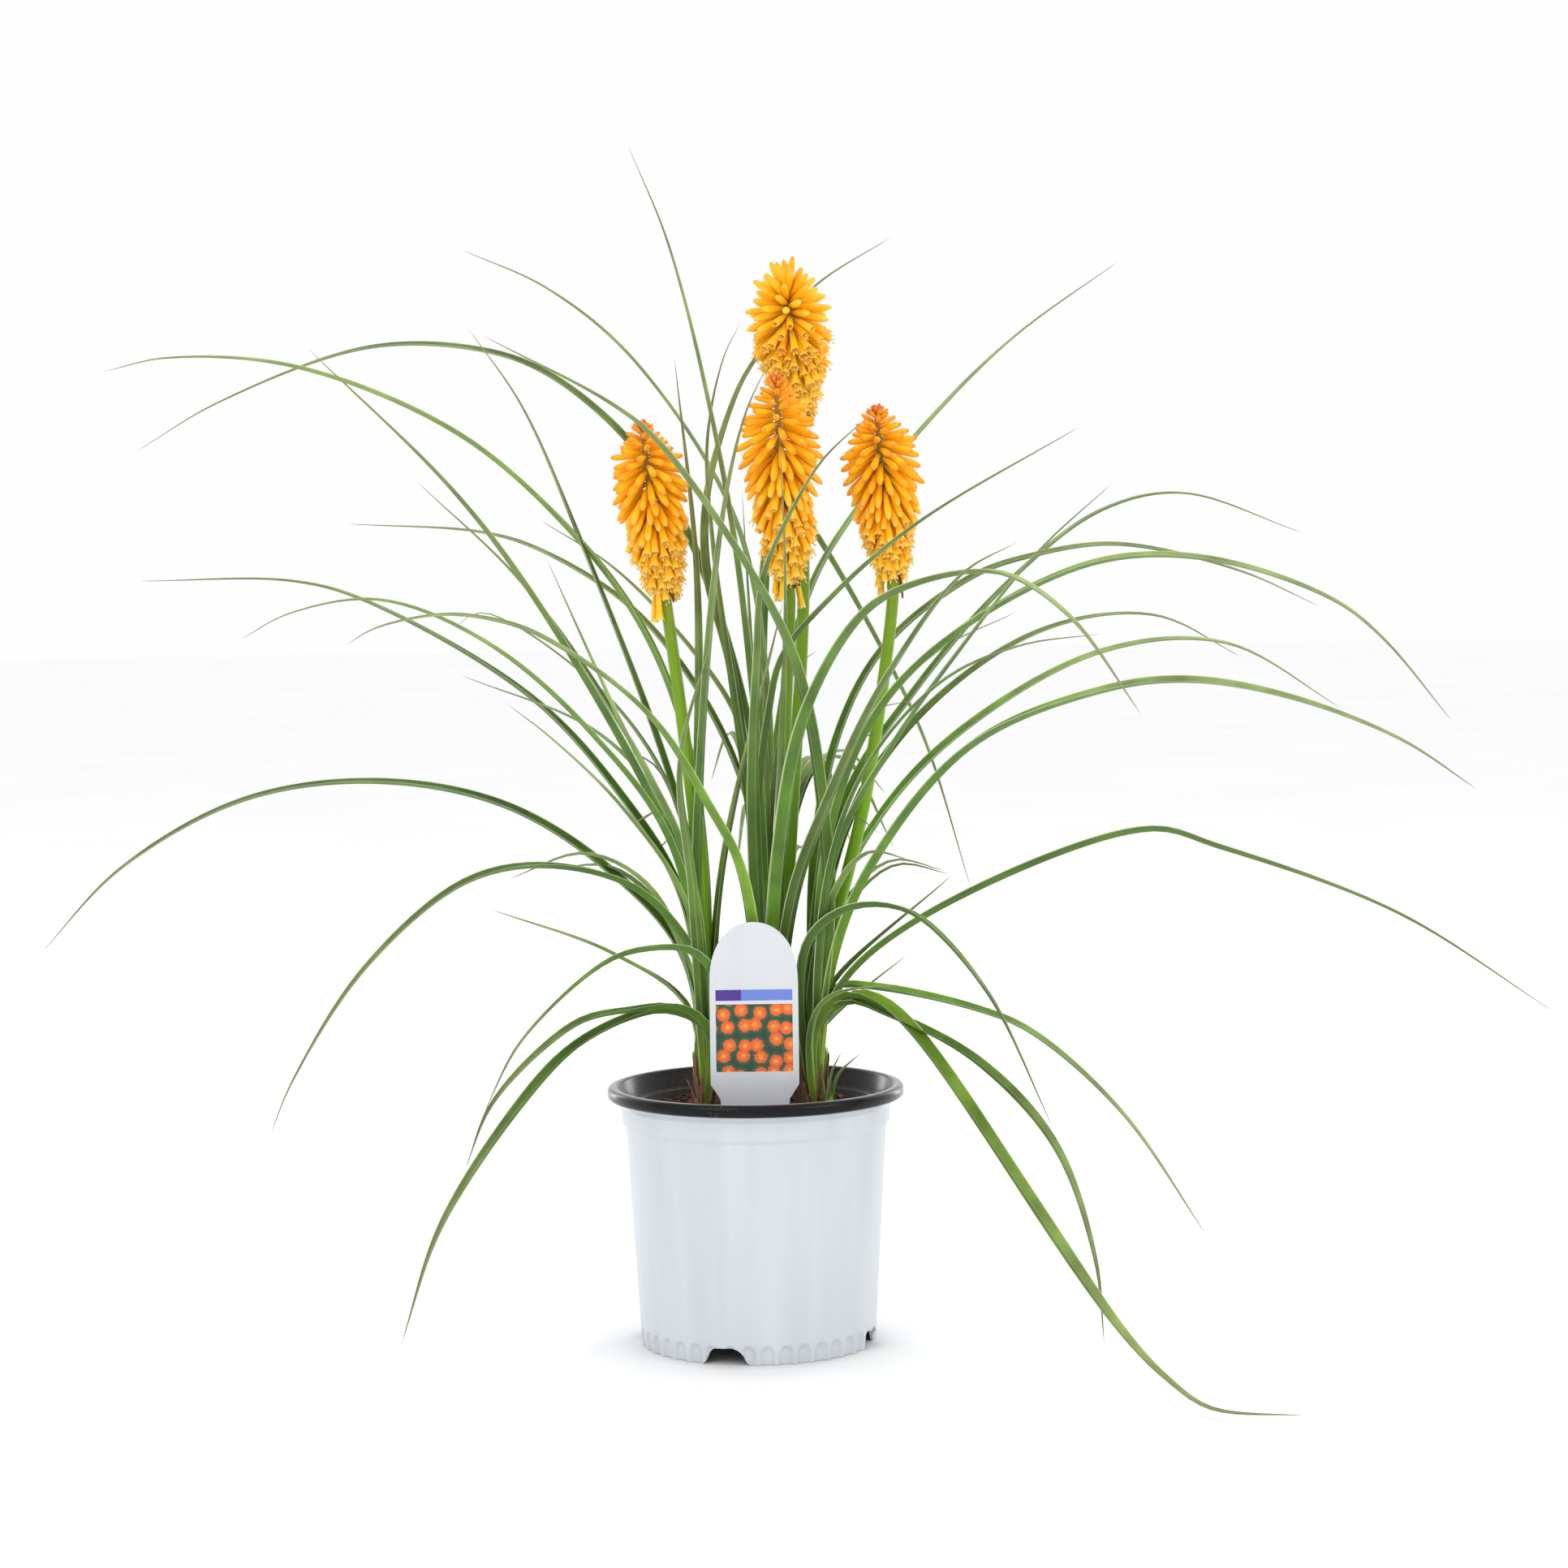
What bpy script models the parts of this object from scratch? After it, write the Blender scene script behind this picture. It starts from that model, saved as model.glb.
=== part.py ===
"""A potted red hot poker (Kniphofia): nursery pot, soil, plant label, three leafy crowns with
their flower stalks, a young shoot and four flower heads.

Metres, +Z up. The origin lies on the floor at the centre of the pot's foot, and the front is -Y.
"""
import math
import random
from dataclasses import dataclass

import bmesh
import bpy
from mathutils import Matrix, Vector

MM = 0.001
CLEARANCE = 0.3 * MM          # gap between two solids that touch

# Pot
POT_HEIGHT = 144.5 * MM
RIM_RADIUS = 82.5 * MM
MOUTH_RADIUS = 76.3 * MM
FOOT_RADIUS = 65.2 * MM
POT_SIDES = 80
FLUTE_HEIGHT = 11.5 * MM
FLUTE_DEPTH = 1.2 * MM
NOTCH_HEIGHT = 9.0 * MM
NOTCH_TOP = 16.0 * MM
NOTCH_BOTTOM = 26.0 * MM
NOTCH_ANGLES = [math.radians(-106 + 90 * k) for k in range(4)]
DRAIN_RADIUS = 5.0 * MM
DRAIN_CIRCLE = 46.0 * MM

# Soil
SOIL_TOP = 130.0 * MM
SOIL_RELIEF = 2.2 * MM
SOIL_SIDES = 32
HOLE_DEPTH = 16.0 * MM

# Plant label
LABEL_WIDTH = 48.5 * MM
LABEL_SHANK = 36.0 * MM
LABEL_THICKNESS = 0.8 * MM
LABEL_Y = -34.0 * MM
LABEL_TOP = 238.0 * MM
LABEL_SHOULDER = 203.0 * MM
LABEL_WAIST = 149.0 * MM
LABEL_FOOT = 96.0 * MM
LABEL_LEAN = math.radians(2.0)

# Leaves
EYE = Vector((18.0, -2000.0, 442.0)) * MM     # where the leaf lines below are seen from
LEAF_ROOT_Z = 122.0 * MM
LEAF_STATION = 120.0 * MM     # length of blade for each cross-section
BEND_LENGTH = 100.0 * MM     # blade length that one radian of bend counts as
LEAF_FOLD = math.radians(36)
LEAF_THICKNESS = 1.4 * MM
TIP_SHARE = 0.10
FLOOR_CLEAR = 3.2 * MM
DEPTH_POWER = 1.3

# Flower heads
STALK_RADIUS = 3.5 * MM
STALK_SIDES = 6
STALK_SEAT = 8.0 * MM         # straight end of the stalk under its head
STALK_STATION = 90.0 * MM
FLORETS = 34
GOLDEN_ANGLE = math.pi * (3 - math.sqrt(5))
STEEPEST = -80.0              # how steeply a floret may hang beside the stalk, in degrees

# How a floret stands, by its share of the count from the lowest up: rise in degrees, length and
# neck as shares of the head's radius, girth as a share, start as a share of the head's length
BUDDED = (
    (0.0, -84, 0.85, 0.27, 0.95, 0.15), (0.15, -74, 0.90, 0.28, 1.0, 0.27),
    (0.35, -64, 0.94, 0.33, 1.0, 0.43), (0.55, -52, 0.95, 0.34, 1.0, 0.59),
    (0.7, -27, 0.86, 0.33, 1.0, 0.71), (0.8, -3, 0.68, 0.27, 0.9, 0.79),
    (0.9, 28, 0.42, 0.16, 0.8, 0.88), (1.0, 75, 0.22, 0.08, 0.65, 0.955),
)
OPENED = (
    (0.0, -84, 0.75, 0.26, 0.95, 0.15), (0.15, -74, 0.78, 0.27, 1.0, 0.243),
    (0.4, -58, 0.80, 0.30, 1.0, 0.398), (0.6, -40, 0.78, 0.30, 1.0, 0.522),
    (0.75, -12, 0.76, 0.24, 1.0, 0.615), (0.85, 18, 0.75, 0.17, 1.0, 0.677),
    (0.93, 48, 0.75, 0.10, 1.0, 0.727), (1.0, 82, 0.75, 0.09, 0.95, 0.77),
)


@dataclass(frozen=True)
class Crown:
    """Where one fan of leaves leaves the soil, in mm, with the radius of its old sheaths."""
    x: float
    y: float
    radius: float
    height: float


@dataclass(frozen=True)
class Leaf:
    """A leaf drawn in the front view: (x, z) in mm from the crown outwards.

    depth is how far its tip lies behind the crown, negative towards the front.
    """
    depth: float
    width: float
    line: tuple


@dataclass(frozen=True)
class Fill:
    """Inner leaves set round a crown by a seeded rule, in mm and degrees."""
    count: int
    azimuth: tuple
    height: tuple
    reach: tuple
    droop: tuple
    width: tuple
    seed: int


@dataclass(frozen=True)
class Head:
    """A flower head in mm: the stalk's line in the front view, then the head's two ends."""
    root: tuple
    stalk: tuple
    base: tuple
    tip: tuple
    radius: float
    seed: int
    open_top: bool = False


CROWNS = {
    "left_crown": Crown(-26, 2, 7.5, 60),
    "centre_crown": Crown(8, 26, 9.0, 74),
    "right_crown": Crown(31, 4, 8.0, 50),
}

LEFT_LEAVES = [
    Leaf(64, 10, ((-27, 260), (-36, 333), (-57, 393), (-93, 446), (-157, 505), (-247, 544),
                  (-318, 550), (-353, 543))),
    Leaf(-60, 8, ((-37, 256), (-61, 313), (-122, 420), (-164, 477), (-240, 554))),
    Leaf(50, 6, ((-35, 261), (-56, 315), (-122, 420), (-182, 481))),
    Leaf(40, 7, ((-32, 256), (-47, 319), (-95, 453), (-124, 522), (-152, 564))),
    Leaf(130, 8, ((-40, 247), (-75, 308), (-123, 362), (-213, 416), (-252, 427), (-336, 428))),
    Leaf(-110, 8, ((-44, 274), (-88, 340), (-146, 392), (-204, 416), (-254, 409), (-281, 395))),
    Leaf(100, 5, ((-30, 256), (-48, 315), (-79, 361), (-131, 402), (-150, 408), (-164, 399))),
    Leaf(60, 6, ((-33, 252), (-52, 304), (-86, 342), (-160, 374))),
    Leaf(-80, 5, ((-37, 243), (-70, 297), (-110, 338), (-135, 358))),
    Leaf(-90, 6, ((-35, 261), (-74, 350), (-111, 437))),
    Leaf(90, 9, ((-40, 215), (-82, 265), (-138, 301), (-209, 315), (-281, 306), (-350, 269),
                 (-397, 221))),
    Leaf(-90, 9, ((-24, 179), (-35, 218), (-66, 254), (-116, 267), (-160, 258), (-216, 211),
                  (-258, 148), (-271, 118))),
    Leaf(70, 6, ((-38, 188), (-78, 218), (-146, 244))),
    Leaf(-110, 8, ((-23, 202), (-35, 218), (-58, 220), (-82, 213), (-129, 171), (-153, 127))),
    Leaf(-130, 8, ((-28, 175), (-42, 187), (-68, 186), (-98, 179), (-145, 137), (-163, 97))),
    Leaf(-170, 9, ((-28, 174), (-48, 185), (-68, 182), (-99, 166), (-129, 136), (-176, 67),
                   (-200, 0))),
    Leaf(30, 7, ((-30, 279), (-29, 431), (-39, 546))),
    Leaf(-40, 7, ((-30, 257), (-16, 445), (-1, 514), (13, 544))),
    Leaf(-85, 7, ((-33, 254), (-39, 323), (-22, 389))),
    Leaf(-5, 9, ((-17, 257), (19, 413))),
]

CENTRE_LEAVES = [
    Leaf(190, 9, ((4, 274), (-4, 350), (-36, 453), (-67, 502), (-111, 539), (-147, 552),
                  (-208, 554), (-291, 525), (-336, 499))),
    Leaf(100, 8, ((8, 274), (9, 363), (-8, 459), (-61, 545), (-108, 585), (-155, 607))),
    Leaf(-15, 7, ((5, 274), (0, 364), (-13, 477), (-41, 606), (-63, 663))),
    Leaf(20, 6, ((1, 269), (-20, 445), (-22, 501), (-12, 547), (-2, 566))),
    Leaf(70, 5, ((5, 274), (-3, 474))),
    Leaf(170, 9, ((10, 269), (18, 350), (35, 419), (60, 461), (108, 518), (148, 556), (205, 596))),
    Leaf(170, 8, ((7, 319), (8, 404), (14, 453), (24, 464), (35, 451), (92, 344), (121, 252))),
    Leaf(-245, 9, ((-7, 260), (-25, 299), (-58, 352), (-116, 395), (-146, 405), (-172, 407),
                   (-207, 400), (-223, 391))),
    Leaf(70, 7, ((4, 278), (-2, 323), (-11, 354), (-42, 398), (-76, 433), (-115, 459))),
    Leaf(40, 8, ((1, 274), (-6, 312), (-28, 361), (-65, 409), (-113, 441), (-145, 452),
                 (-221, 458))),
    Leaf(60, 9, ((4, 269), (-9, 377), (-22, 431), (-21, 473), (-4, 528), (8, 548), (38, 584),
                 (81, 611))),
    Leaf(-230, 12, ((17, 273), (33, 352), (63, 403), (86, 418), (127, 427), (147, 423), (178, 400),
                    (216, 347))),
    Leaf(-190, 8, ((22, 244), (47, 311), (77, 371), (118, 426), (148, 443))),
    Leaf(-125, 9, ((3, 251), (2, 319), (5, 380), (9, 426), (29, 470), (43, 491), (68, 514))),
    Leaf(-97, 4, ((12, 260), (17, 330), (20, 426), (18, 507))),
    Leaf(-118, 8, ((2, 268), (6, 315), (11, 350), (19, 382), (47, 415), (93, 454), (183, 506))),
]

RIGHT_LEAVES = [
    Leaf(-130, 9, ((40, 242), (40, 273), (30, 355), (14, 403), (-48, 499), (-72, 520),
                   (-144, 560))),
    Leaf(120, 9, ((37, 278), (52, 345), (77, 388), (124, 424), (156, 435), (203, 441), (270, 426),
                  (316, 405))),
    Leaf(-70, 11, ((42, 273), (65, 340), (98, 380), (155, 417), (203, 433), (259, 431), (322, 409),
                   (349, 388), (388, 341))),
    Leaf(130, 8, ((51, 296), (92, 362), (147, 424), (195, 460), (239, 469), (306, 446))),
    Leaf(-120, 8, ((46, 269), (78, 331), (113, 380), (160, 438), (201, 475))),
    Leaf(90, 6, ((44, 282), (70, 349), (103, 383), (148, 405))),
    Leaf(-110, 6, ((42, 260), (65, 322), (106, 367), (149, 386), (194, 392))),
    Leaf(110, 8, ((49, 273), (87, 340), (159, 393), (223, 402), (272, 378))),
    Leaf(40, 9, ((44, 237), (74, 295), (119, 340), (195, 382), (263, 386), (327, 349))),
    Leaf(-110, 12, ((46, 214), (69, 268), (123, 331), (195, 360), (241, 365), (295, 356),
                    (358, 332), (402, 303))),
    Leaf(-130, 9, ((38, 174), (54, 205), (104, 241), (220, 283), (258, 273), (356, 236),
                   (447, 177))),
    Leaf(-100, 8, ((27, 196), (33, 225), (49, 239), (68, 243), (90, 237), (129, 194), (166, 116))),
    Leaf(-50, 8, ((34, 178), (45, 197), (65, 197), (123, 184), (153, 171), (203, 126), (251, 55))),
    Leaf(-150, 8, ((36, 174), (52, 189), (73, 182), (123, 155), (166, 108), (188, 44), (193, -5))),
    Leaf(-230, 12, ((36, 176), (52, 192), (65, 190), (83, 176), (202, 2), (229, -27), (251, -42),
                    (306, -47))),
    Leaf(-60, 5, ((32, 176), (43, 193), (82, 199))),
    Leaf(35, 5, ((35, 169), (52, 189), (86, 216))),
    Leaf(-20, 6, ((34, 174), (45, 201), (111, 260))),
]

FILLS = {
    "left_crown": [
        Fill(6, (120, 250), (150, 250), (40, 110), (0, 40), (6, 8), 11),
    ],
    "centre_crown": [
        Fill(4, (50, 130), (200, 300), (40, 90), (0, 20), (6, 8), 12),
        Fill(7, (58, 122), (190, 270), (150, 218), (60, 140), (7, 9), 13),
    ],
    "right_crown": [
        Fill(6, (-70, 50), (150, 250), (40, 110), (0, 40), (6, 8), 14),
    ],
}

HEADS = {
    "flower_head_1": Head((-25, 0), ((-29, 260),), (-46, -5, 416), (-58, -7, 513), 20, 21),
    "flower_head_2": Head((9, 22.5), ((13, 237),), (22, -22, 422), (16, -24, 537), 21, 22),
    "flower_head_3": Head((10, 28), ((24, 318), (30, 412)), (29, 27, 519), (21, 12, 603), 23, 23,
                          True),
    "flower_head_4": Head((33, 4), ((39, 205), (63, 304)), (79, 0, 426), (71, -2, 520), 20, 24),
}
STALK_CROWN = {
    "flower_head_1": "left_crown",
    "flower_head_2": "centre_crown",
    "flower_head_3": "centre_crown",
    "flower_head_4": "right_crown",
}

SHOOT_ROOT = (41, -10)
SHOOT_LEAVES = [
    Leaf(-4, 3.5, ((42, 148), (48, 162))),
    Leaf(3, 3.5, ((46, 148), (59, 161))),
    Leaf(2, 3.0, ((38, 142), (37, 151))),
]


def clear_scene():
    """Remove whatever objects the file starts with."""
    for item in list(bpy.data.objects):
        bpy.data.objects.remove(item, do_unlink=True)


def material(name, colour, roughness):
    """A plain Principled material with a linear RGB colour."""
    made = bpy.data.materials.new(name)
    made.use_nodes = True
    shader = made.node_tree.nodes["Principled BSDF"]
    shader.inputs["Base Color"].default_value = (*colour, 1.0)
    shader.inputs["Roughness"].default_value = roughness
    return made


def add_object(name, bm, finish, smooth=35):
    """Make one object from a bmesh, with its faces pointing out."""
    bm.normal_update()
    bmesh.ops.recalc_face_normals(bm, faces=bm.faces)
    mesh = bpy.data.meshes.new(name)
    bm.to_mesh(mesh)
    bm.free()
    mesh.materials.append(finish)
    mesh.shade_smooth()
    mesh.set_sharp_from_angle(angle=math.radians(smooth))
    made = bpy.data.objects.new(name, mesh)
    bpy.context.scene.collection.objects.link(made)
    return made


def turned(profile, sides):
    """Spin an (r, z) profile that starts and ends on the axis into a closed bmesh."""
    bm = bmesh.new()
    verts = [bm.verts.new((r, 0.0, z)) for r, z in profile]
    edges = [bm.edges.new(pair) for pair in zip(verts, verts[1:])]
    bmesh.ops.spin(bm, geom=verts + edges, cent=(0, 0, 0), axis=(0, 0, 1),
                   angle=2 * math.pi, steps=sides, use_merge=True)
    bmesh.ops.remove_doubles(bm, verts=bm.verts, dist=0.01 * MM)
    bmesh.ops.dissolve_degenerate(bm, dist=0.005 * MM, edges=bm.edges)
    return bm


def cutter(name, bm):
    """A solid that only cuts another one."""
    bm.normal_update()
    bmesh.ops.recalc_face_normals(bm, faces=bm.faces)
    mesh = bpy.data.meshes.new(name)
    bm.to_mesh(mesh)
    bm.free()
    made = bpy.data.objects.new(name, mesh)
    made.hide_render = True
    made.display_type = "WIRE"
    bpy.context.scene.collection.objects.link(made)
    return made


def cut(target, tool):
    """Subtract one cutter with a Boolean modifier."""
    modifier = target.modifiers.new(tool.name, "BOOLEAN")
    modifier.operation = "DIFFERENCE"
    modifier.solver = "EXACT"
    modifier.object = tool


def prism(outline, start, end):
    """Extrude a closed (x, z) outline from y = start to y = end."""
    bm = bmesh.new()
    face = bm.faces.new([bm.verts.new((x, start, z)) for x, z in outline])
    moved = bmesh.ops.extrude_face_region(bm, geom=[face])["geom"]
    bmesh.ops.translate(bm, vec=(0, end - start, 0),
                        verts=[item for item in moved if isinstance(item, bmesh.types.BMVert)])
    return bm


def rod(x, y, bottom, top, radius, sides=12):
    """An upright round cutter or stub."""
    bm = bmesh.new()
    place = Matrix.Translation((x, y, (bottom + top) / 2))
    bmesh.ops.create_cone(bm, cap_ends=True, segments=sides, radius1=radius, radius2=radius,
                          depth=top - bottom, matrix=place)
    return bm


def pot_inside(z):
    """Inner radius of the pot below its ledge at height z."""
    low, high = 12.0 * MM, 133.0 * MM
    share = (z - low) / (high - low)
    return (62.4 + (70.4 - 62.4) * share) * MM


def build_pot():
    """The nursery pot: one thin moulded shell with a rolled rim, a fluted foot and drain notches."""
    top = POT_HEIGHT
    profile = [(r * MM, z * MM) for r, z in (
        (0, 9.4), (61.3, 9.4), (62.3, 0), (65.2, 0), (65.6, 8.4), (65.9, 11.5), (72.4, 122),
        (74.4, 124.5), (75.0, 137))]
    profile += [(RIM_RADIUS - 1.0 * MM, top - 6.6 * MM), (RIM_RADIUS, top - 5.0 * MM),
                (RIM_RADIUS - 0.6 * MM, top - 1.0 * MM), (RIM_RADIUS - 3.0 * MM, top),
                (MOUTH_RADIUS, top - 0.6 * MM), (73.6 * MM, top - 10.0 * MM),
                (70.4 * MM, top - 11.5 * MM), (62.2 * MM, 10.9 * MM), (0, 10.9 * MM)]
    bm = turned(profile, POT_SIDES)
    for vert in bm.verts:
        outer = math.hypot(vert.co.x, vert.co.y)
        step = round(math.atan2(vert.co.y, vert.co.x) / (2 * math.pi / POT_SIDES))
        if outer > FOOT_RADIUS - 0.1 * MM and vert.co.z < FLUTE_HEIGHT - 1 * MM and step % 2:
            scale = (outer - FLUTE_DEPTH) / outer
            vert.co.x *= scale
            vert.co.y *= scale
    finish = material("moulded_plastic_white", (0.70, 0.76, 0.79), 0.45)
    pot = add_object("pot", bm, finish)
    for number, angle in enumerate(NOTCH_ANGLES):
        outline = [(-NOTCH_BOTTOM / 2, -2 * MM), (NOTCH_BOTTOM / 2, -2 * MM),
                   (NOTCH_TOP / 2, NOTCH_HEIGHT), (-NOTCH_TOP / 2, NOTCH_HEIGHT)]
        notch = prism(outline, 54 * MM, 72 * MM)
        notch.transform(Matrix.Rotation(angle - math.pi / 2, 4, "Z"))
        cut(pot, cutter(f"notch_cutter_{number}", notch))
        drain = rod(DRAIN_CIRCLE * math.cos(angle), DRAIN_CIRCLE * math.sin(angle),
                    6 * MM, 14 * MM, DRAIN_RADIUS)
        cut(pot, cutter(f"drain_cutter_{number}", drain))
    return pot


def soil_wave(x, y):
    """Height of the rough soil surface above its mean level."""
    a = math.sin(x / (9 * MM) + 0.7) * math.cos(y / (11 * MM) - 0.4)
    b = math.sin((x + 1.7 * y) / (6.1 * MM)) * 0.45
    c = math.cos((1.3 * x - y) / (17 * MM)) * 0.6
    return SOIL_RELIEF * (a + b + c) / 2


def build_soil():
    """The root ball and its soil, with a rough top and plain holes for what stands in it."""
    low = 11.4 * MM
    top_radius = pot_inside(SOIL_TOP) - CLEARANCE * 1.5
    profile = [(0, SOIL_TOP)]
    profile += [(top_radius * share, SOIL_TOP) for share in (0.2, 0.4, 0.6, 0.8, 1.0)]
    profile += [(pot_inside(low) - 3.0 * MM, low), (0, low)]
    bm = turned(profile[::-1], SOIL_SIDES)
    for vert in bm.verts:
        if vert.co.z > SOIL_TOP - 1 * MM:
            vert.co.z += soil_wave(vert.co.x, vert.co.y)
    soil = add_object("soil", bm, material("potting_soil", (0.055, 0.03, 0.018), 0.95))
    floor = SOIL_TOP - HOLE_DEPTH
    for name, crown in CROWNS.items():
        hole = rod(crown.x * MM, crown.y * MM, floor, SOIL_TOP + 9 * MM,
                   crown.radius * MM + 0.9 * MM, 16)
        cut(soil, cutter(f"{name}_hole", hole))
    shoot = rod(SHOOT_ROOT[0] * MM, SHOOT_ROOT[1] * MM, floor, SOIL_TOP + 9 * MM, 4.6 * MM)
    cut(soil, cutter("shoot_hole", shoot))
    slot = prism([(-LABEL_SHANK / 2 - 1 * MM, LABEL_FOOT - 1 * MM),
                  (LABEL_SHANK / 2 + 1 * MM, LABEL_FOOT - 1 * MM),
                  (LABEL_SHANK / 2 + 1 * MM, SOIL_TOP + 9 * MM),
                  (-LABEL_SHANK / 2 - 1 * MM, SOIL_TOP + 9 * MM)],
                 LABEL_Y - 3.4 * MM, LABEL_Y + 1.6 * MM)
    cut(soil, cutter("label_slot", slot))
    return soil


def build_label():
    """The plant label: one flat plastic stake with an arched head and a narrower shank."""
    half = LABEL_WIDTH / 2
    shank = LABEL_SHANK / 2
    rise = LABEL_TOP - LABEL_SHOULDER
    arch = []
    for step in range(9):
        angle = math.pi * step / 8
        lift = math.sin(angle) ** 0.8
        arch.append((half * math.cos(angle), LABEL_SHOULDER + rise * lift))
    outline = arch + [(-half, LABEL_WAIST), (-shank - 1 * MM, LABEL_WAIST - 8 * MM),
                      (-shank, SOIL_TOP), (-shank * 0.55, LABEL_FOOT),
                      (shank * 0.55, LABEL_FOOT), (shank, SOIL_TOP),
                      (shank + 1 * MM, LABEL_WAIST - 8 * MM), (half, LABEL_WAIST)]
    bm = prism(outline, -LABEL_THICKNESS / 2, LABEL_THICKNESS / 2)
    pivot = Matrix.Translation((0, LABEL_Y, SOIL_TOP))
    lean = Matrix.Rotation(-LABEL_LEAN, 4, "X")
    bm.transform(pivot @ lean @ Matrix.Translation((0, 0, -SOIL_TOP)))
    return add_object("label", bm, material("moulded_plastic_label", (0.85, 0.86, 0.87), 0.4))


def smooth_line(points, station):
    """Points along a centripetal Catmull-Rom curve, closer together where it bends."""
    first = points[0] * 2 - points[1]
    last = points[-1] * 2 - points[-2]
    chain = [first, *points, last]
    dense = []
    for k in range(1, len(chain) - 2):
        a, b, c, d = chain[k - 1:k + 3]
        for step in range(12):
            dense.append(spline_point(a, b, c, d, step / 12))
    dense.append(points[-1])
    runs = [0.0]
    heading = dense[1] - dense[0]
    for before, after in zip(dense, dense[1:]):
        bend = heading.angle(after - before)
        heading = after - before
        runs.append(runs[-1] + heading.length + BEND_LENGTH * bend)
    count = max(5, 2 + round(runs[-1] / station))
    spread = []
    index = 0
    for k in range(count):
        wanted = runs[-1] * k / (count - 1)
        while index < len(dense) - 2 and runs[index + 1] < wanted:
            index += 1
        span = runs[index + 1] - runs[index]
        spread.append(dense[index].lerp(dense[index + 1], (wanted - runs[index]) / span))
    return spread


def spline_point(a, b, c, d, share):
    """One point of a centripetal Catmull-Rom span between b and c."""
    t1 = math.sqrt((b - a).length)
    t2 = t1 + math.sqrt((c - b).length)
    t3 = t2 + math.sqrt((d - c).length)
    t = t1 + (t2 - t1) * share
    first = a.lerp(b, t / t1)
    second = b.lerp(c, (t - t1) / (t2 - t1))
    third = c.lerp(d, (t - t2) / (t3 - t2))
    left = first.lerp(second, t / t2)
    right = second.lerp(third, (t - t1) / (t3 - t1))
    return left.lerp(right, (t - t1) / (t2 - t1))


def lifted_line(root, leaf):
    """Carry a leaf's front-view line to its real depth along the sight lines from EYE."""
    flat = [Vector((x * MM, 0.0, z * MM)) for x, z in leaf.line]
    start = Vector((root.x, 0.0, root.z))
    travel = [(flat[0] - start).length]
    for before, after in zip(flat, flat[1:]):
        travel.append(travel[-1] + (after - before).length)
    points = [root]
    for point, length in zip(flat, travel):
        share = (length / travel[-1]) ** DEPTH_POWER
        depth = root.y + leaf.depth * MM * share
        reach = (depth - EYE.y) / -EYE.y
        lifted = EYE + (point - EYE) * reach
        lifted.z = max(lifted.z, FLOOR_CLEAR)
        points.append(lifted)
    return points


def leaf_root(crown, leaf):
    """Where a leaf starts inside its crown: low leaves on the outside, towards their own tip."""
    tip_x = leaf.line[-1][0] - crown.x
    highest = max(z for _, z in leaf.line)
    spread = crown.radius * (0.62 - 0.5 * min(1.0, (highest - 180) / 400))
    reach = math.hypot(tip_x, leaf.depth)
    return Vector((crown.x + spread * tip_x / reach, crown.y + spread * leaf.depth / reach,
                   LEAF_ROOT_Z / MM)) * MM


def fill_line(root, rule, rng):
    """The line of one inner leaf: up from the crown, then out and a little down."""
    azimuth = math.radians(rng.uniform(*rule.azimuth))
    height = rng.uniform(*rule.height) * MM
    reach = rng.uniform(*rule.reach) * MM
    droop = rng.uniform(*rule.droop) * MM
    points = [root]
    for share in (0.25, 0.5, 0.75, 1.0):
        out = reach * share ** 1.7
        up = height * math.sin(math.pi / 2 * share ** 0.8) - droop * share ** 3
        points.append(root + Vector((out * math.cos(azimuth), out * math.sin(azimuth), up)))
    return points


def blade_spread(share):
    """How much wider or narrower than its width a leaf is drawn along its length."""
    return (1.35 - 0.4 * share) * min(1.0, 0.5 + 0.5 * share / 0.3)


def blade(points, width, roll):
    """A keeled strap leaf along a line: four edges, broad near the foot, thin at the tip."""
    line = smooth_line(points, LEAF_STATION)
    stations = len(line)
    out = line[-1] - line[0]
    azimuth = math.atan2(out.y, out.x)
    across = Vector((-math.sin(azimuth), math.cos(azimuth), 0))
    bm = bmesh.new()
    rings = []
    travel = [0.0]
    for before, after in zip(line, line[1:]):
        travel.append(travel[-1] + (after - before).length)
    for k, point in enumerate(line):
        share = travel[k] / travel[-1]
        tangent = (line[min(k + 1, stations - 1)] - line[max(k - 1, 0)]).normalized()
        side = (across - tangent * across.dot(tangent)).normalized()
        side.rotate(Matrix.Rotation(roll * share, 3, tangent))
        up = tangent.cross(side)
        taper = TIP_SHARE + (1 - TIP_SHARE) * (1 - share ** 2.2)
        half = width * MM / 2 * taper * blade_spread(share)
        thick = LEAF_THICKNESS / 2 * (0.45 + 0.55 * taper)
        edge = side * (half * math.cos(LEAF_FOLD))
        rise = up * (half * math.sin(LEAF_FOLD) * 0.8)
        corners = (point + edge + rise, point + up * thick, point - edge + rise, point - up * thick)
        rings.append([bm.verts.new(corner) for corner in corners])
    for lower, upper in zip(rings, rings[1:]):
        for k in (0, 2):
            for middle in (1, 3):
                bm.faces.new((lower[k], lower[middle], upper[middle]))
                bm.faces.new((lower[k], upper[middle], upper[k]))
    for ring in (rings[0], rings[-1]):
        bm.faces.new((ring[0], ring[1], ring[3]))
        bm.faces.new((ring[2], ring[1], ring[3]))
    return bm


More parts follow.
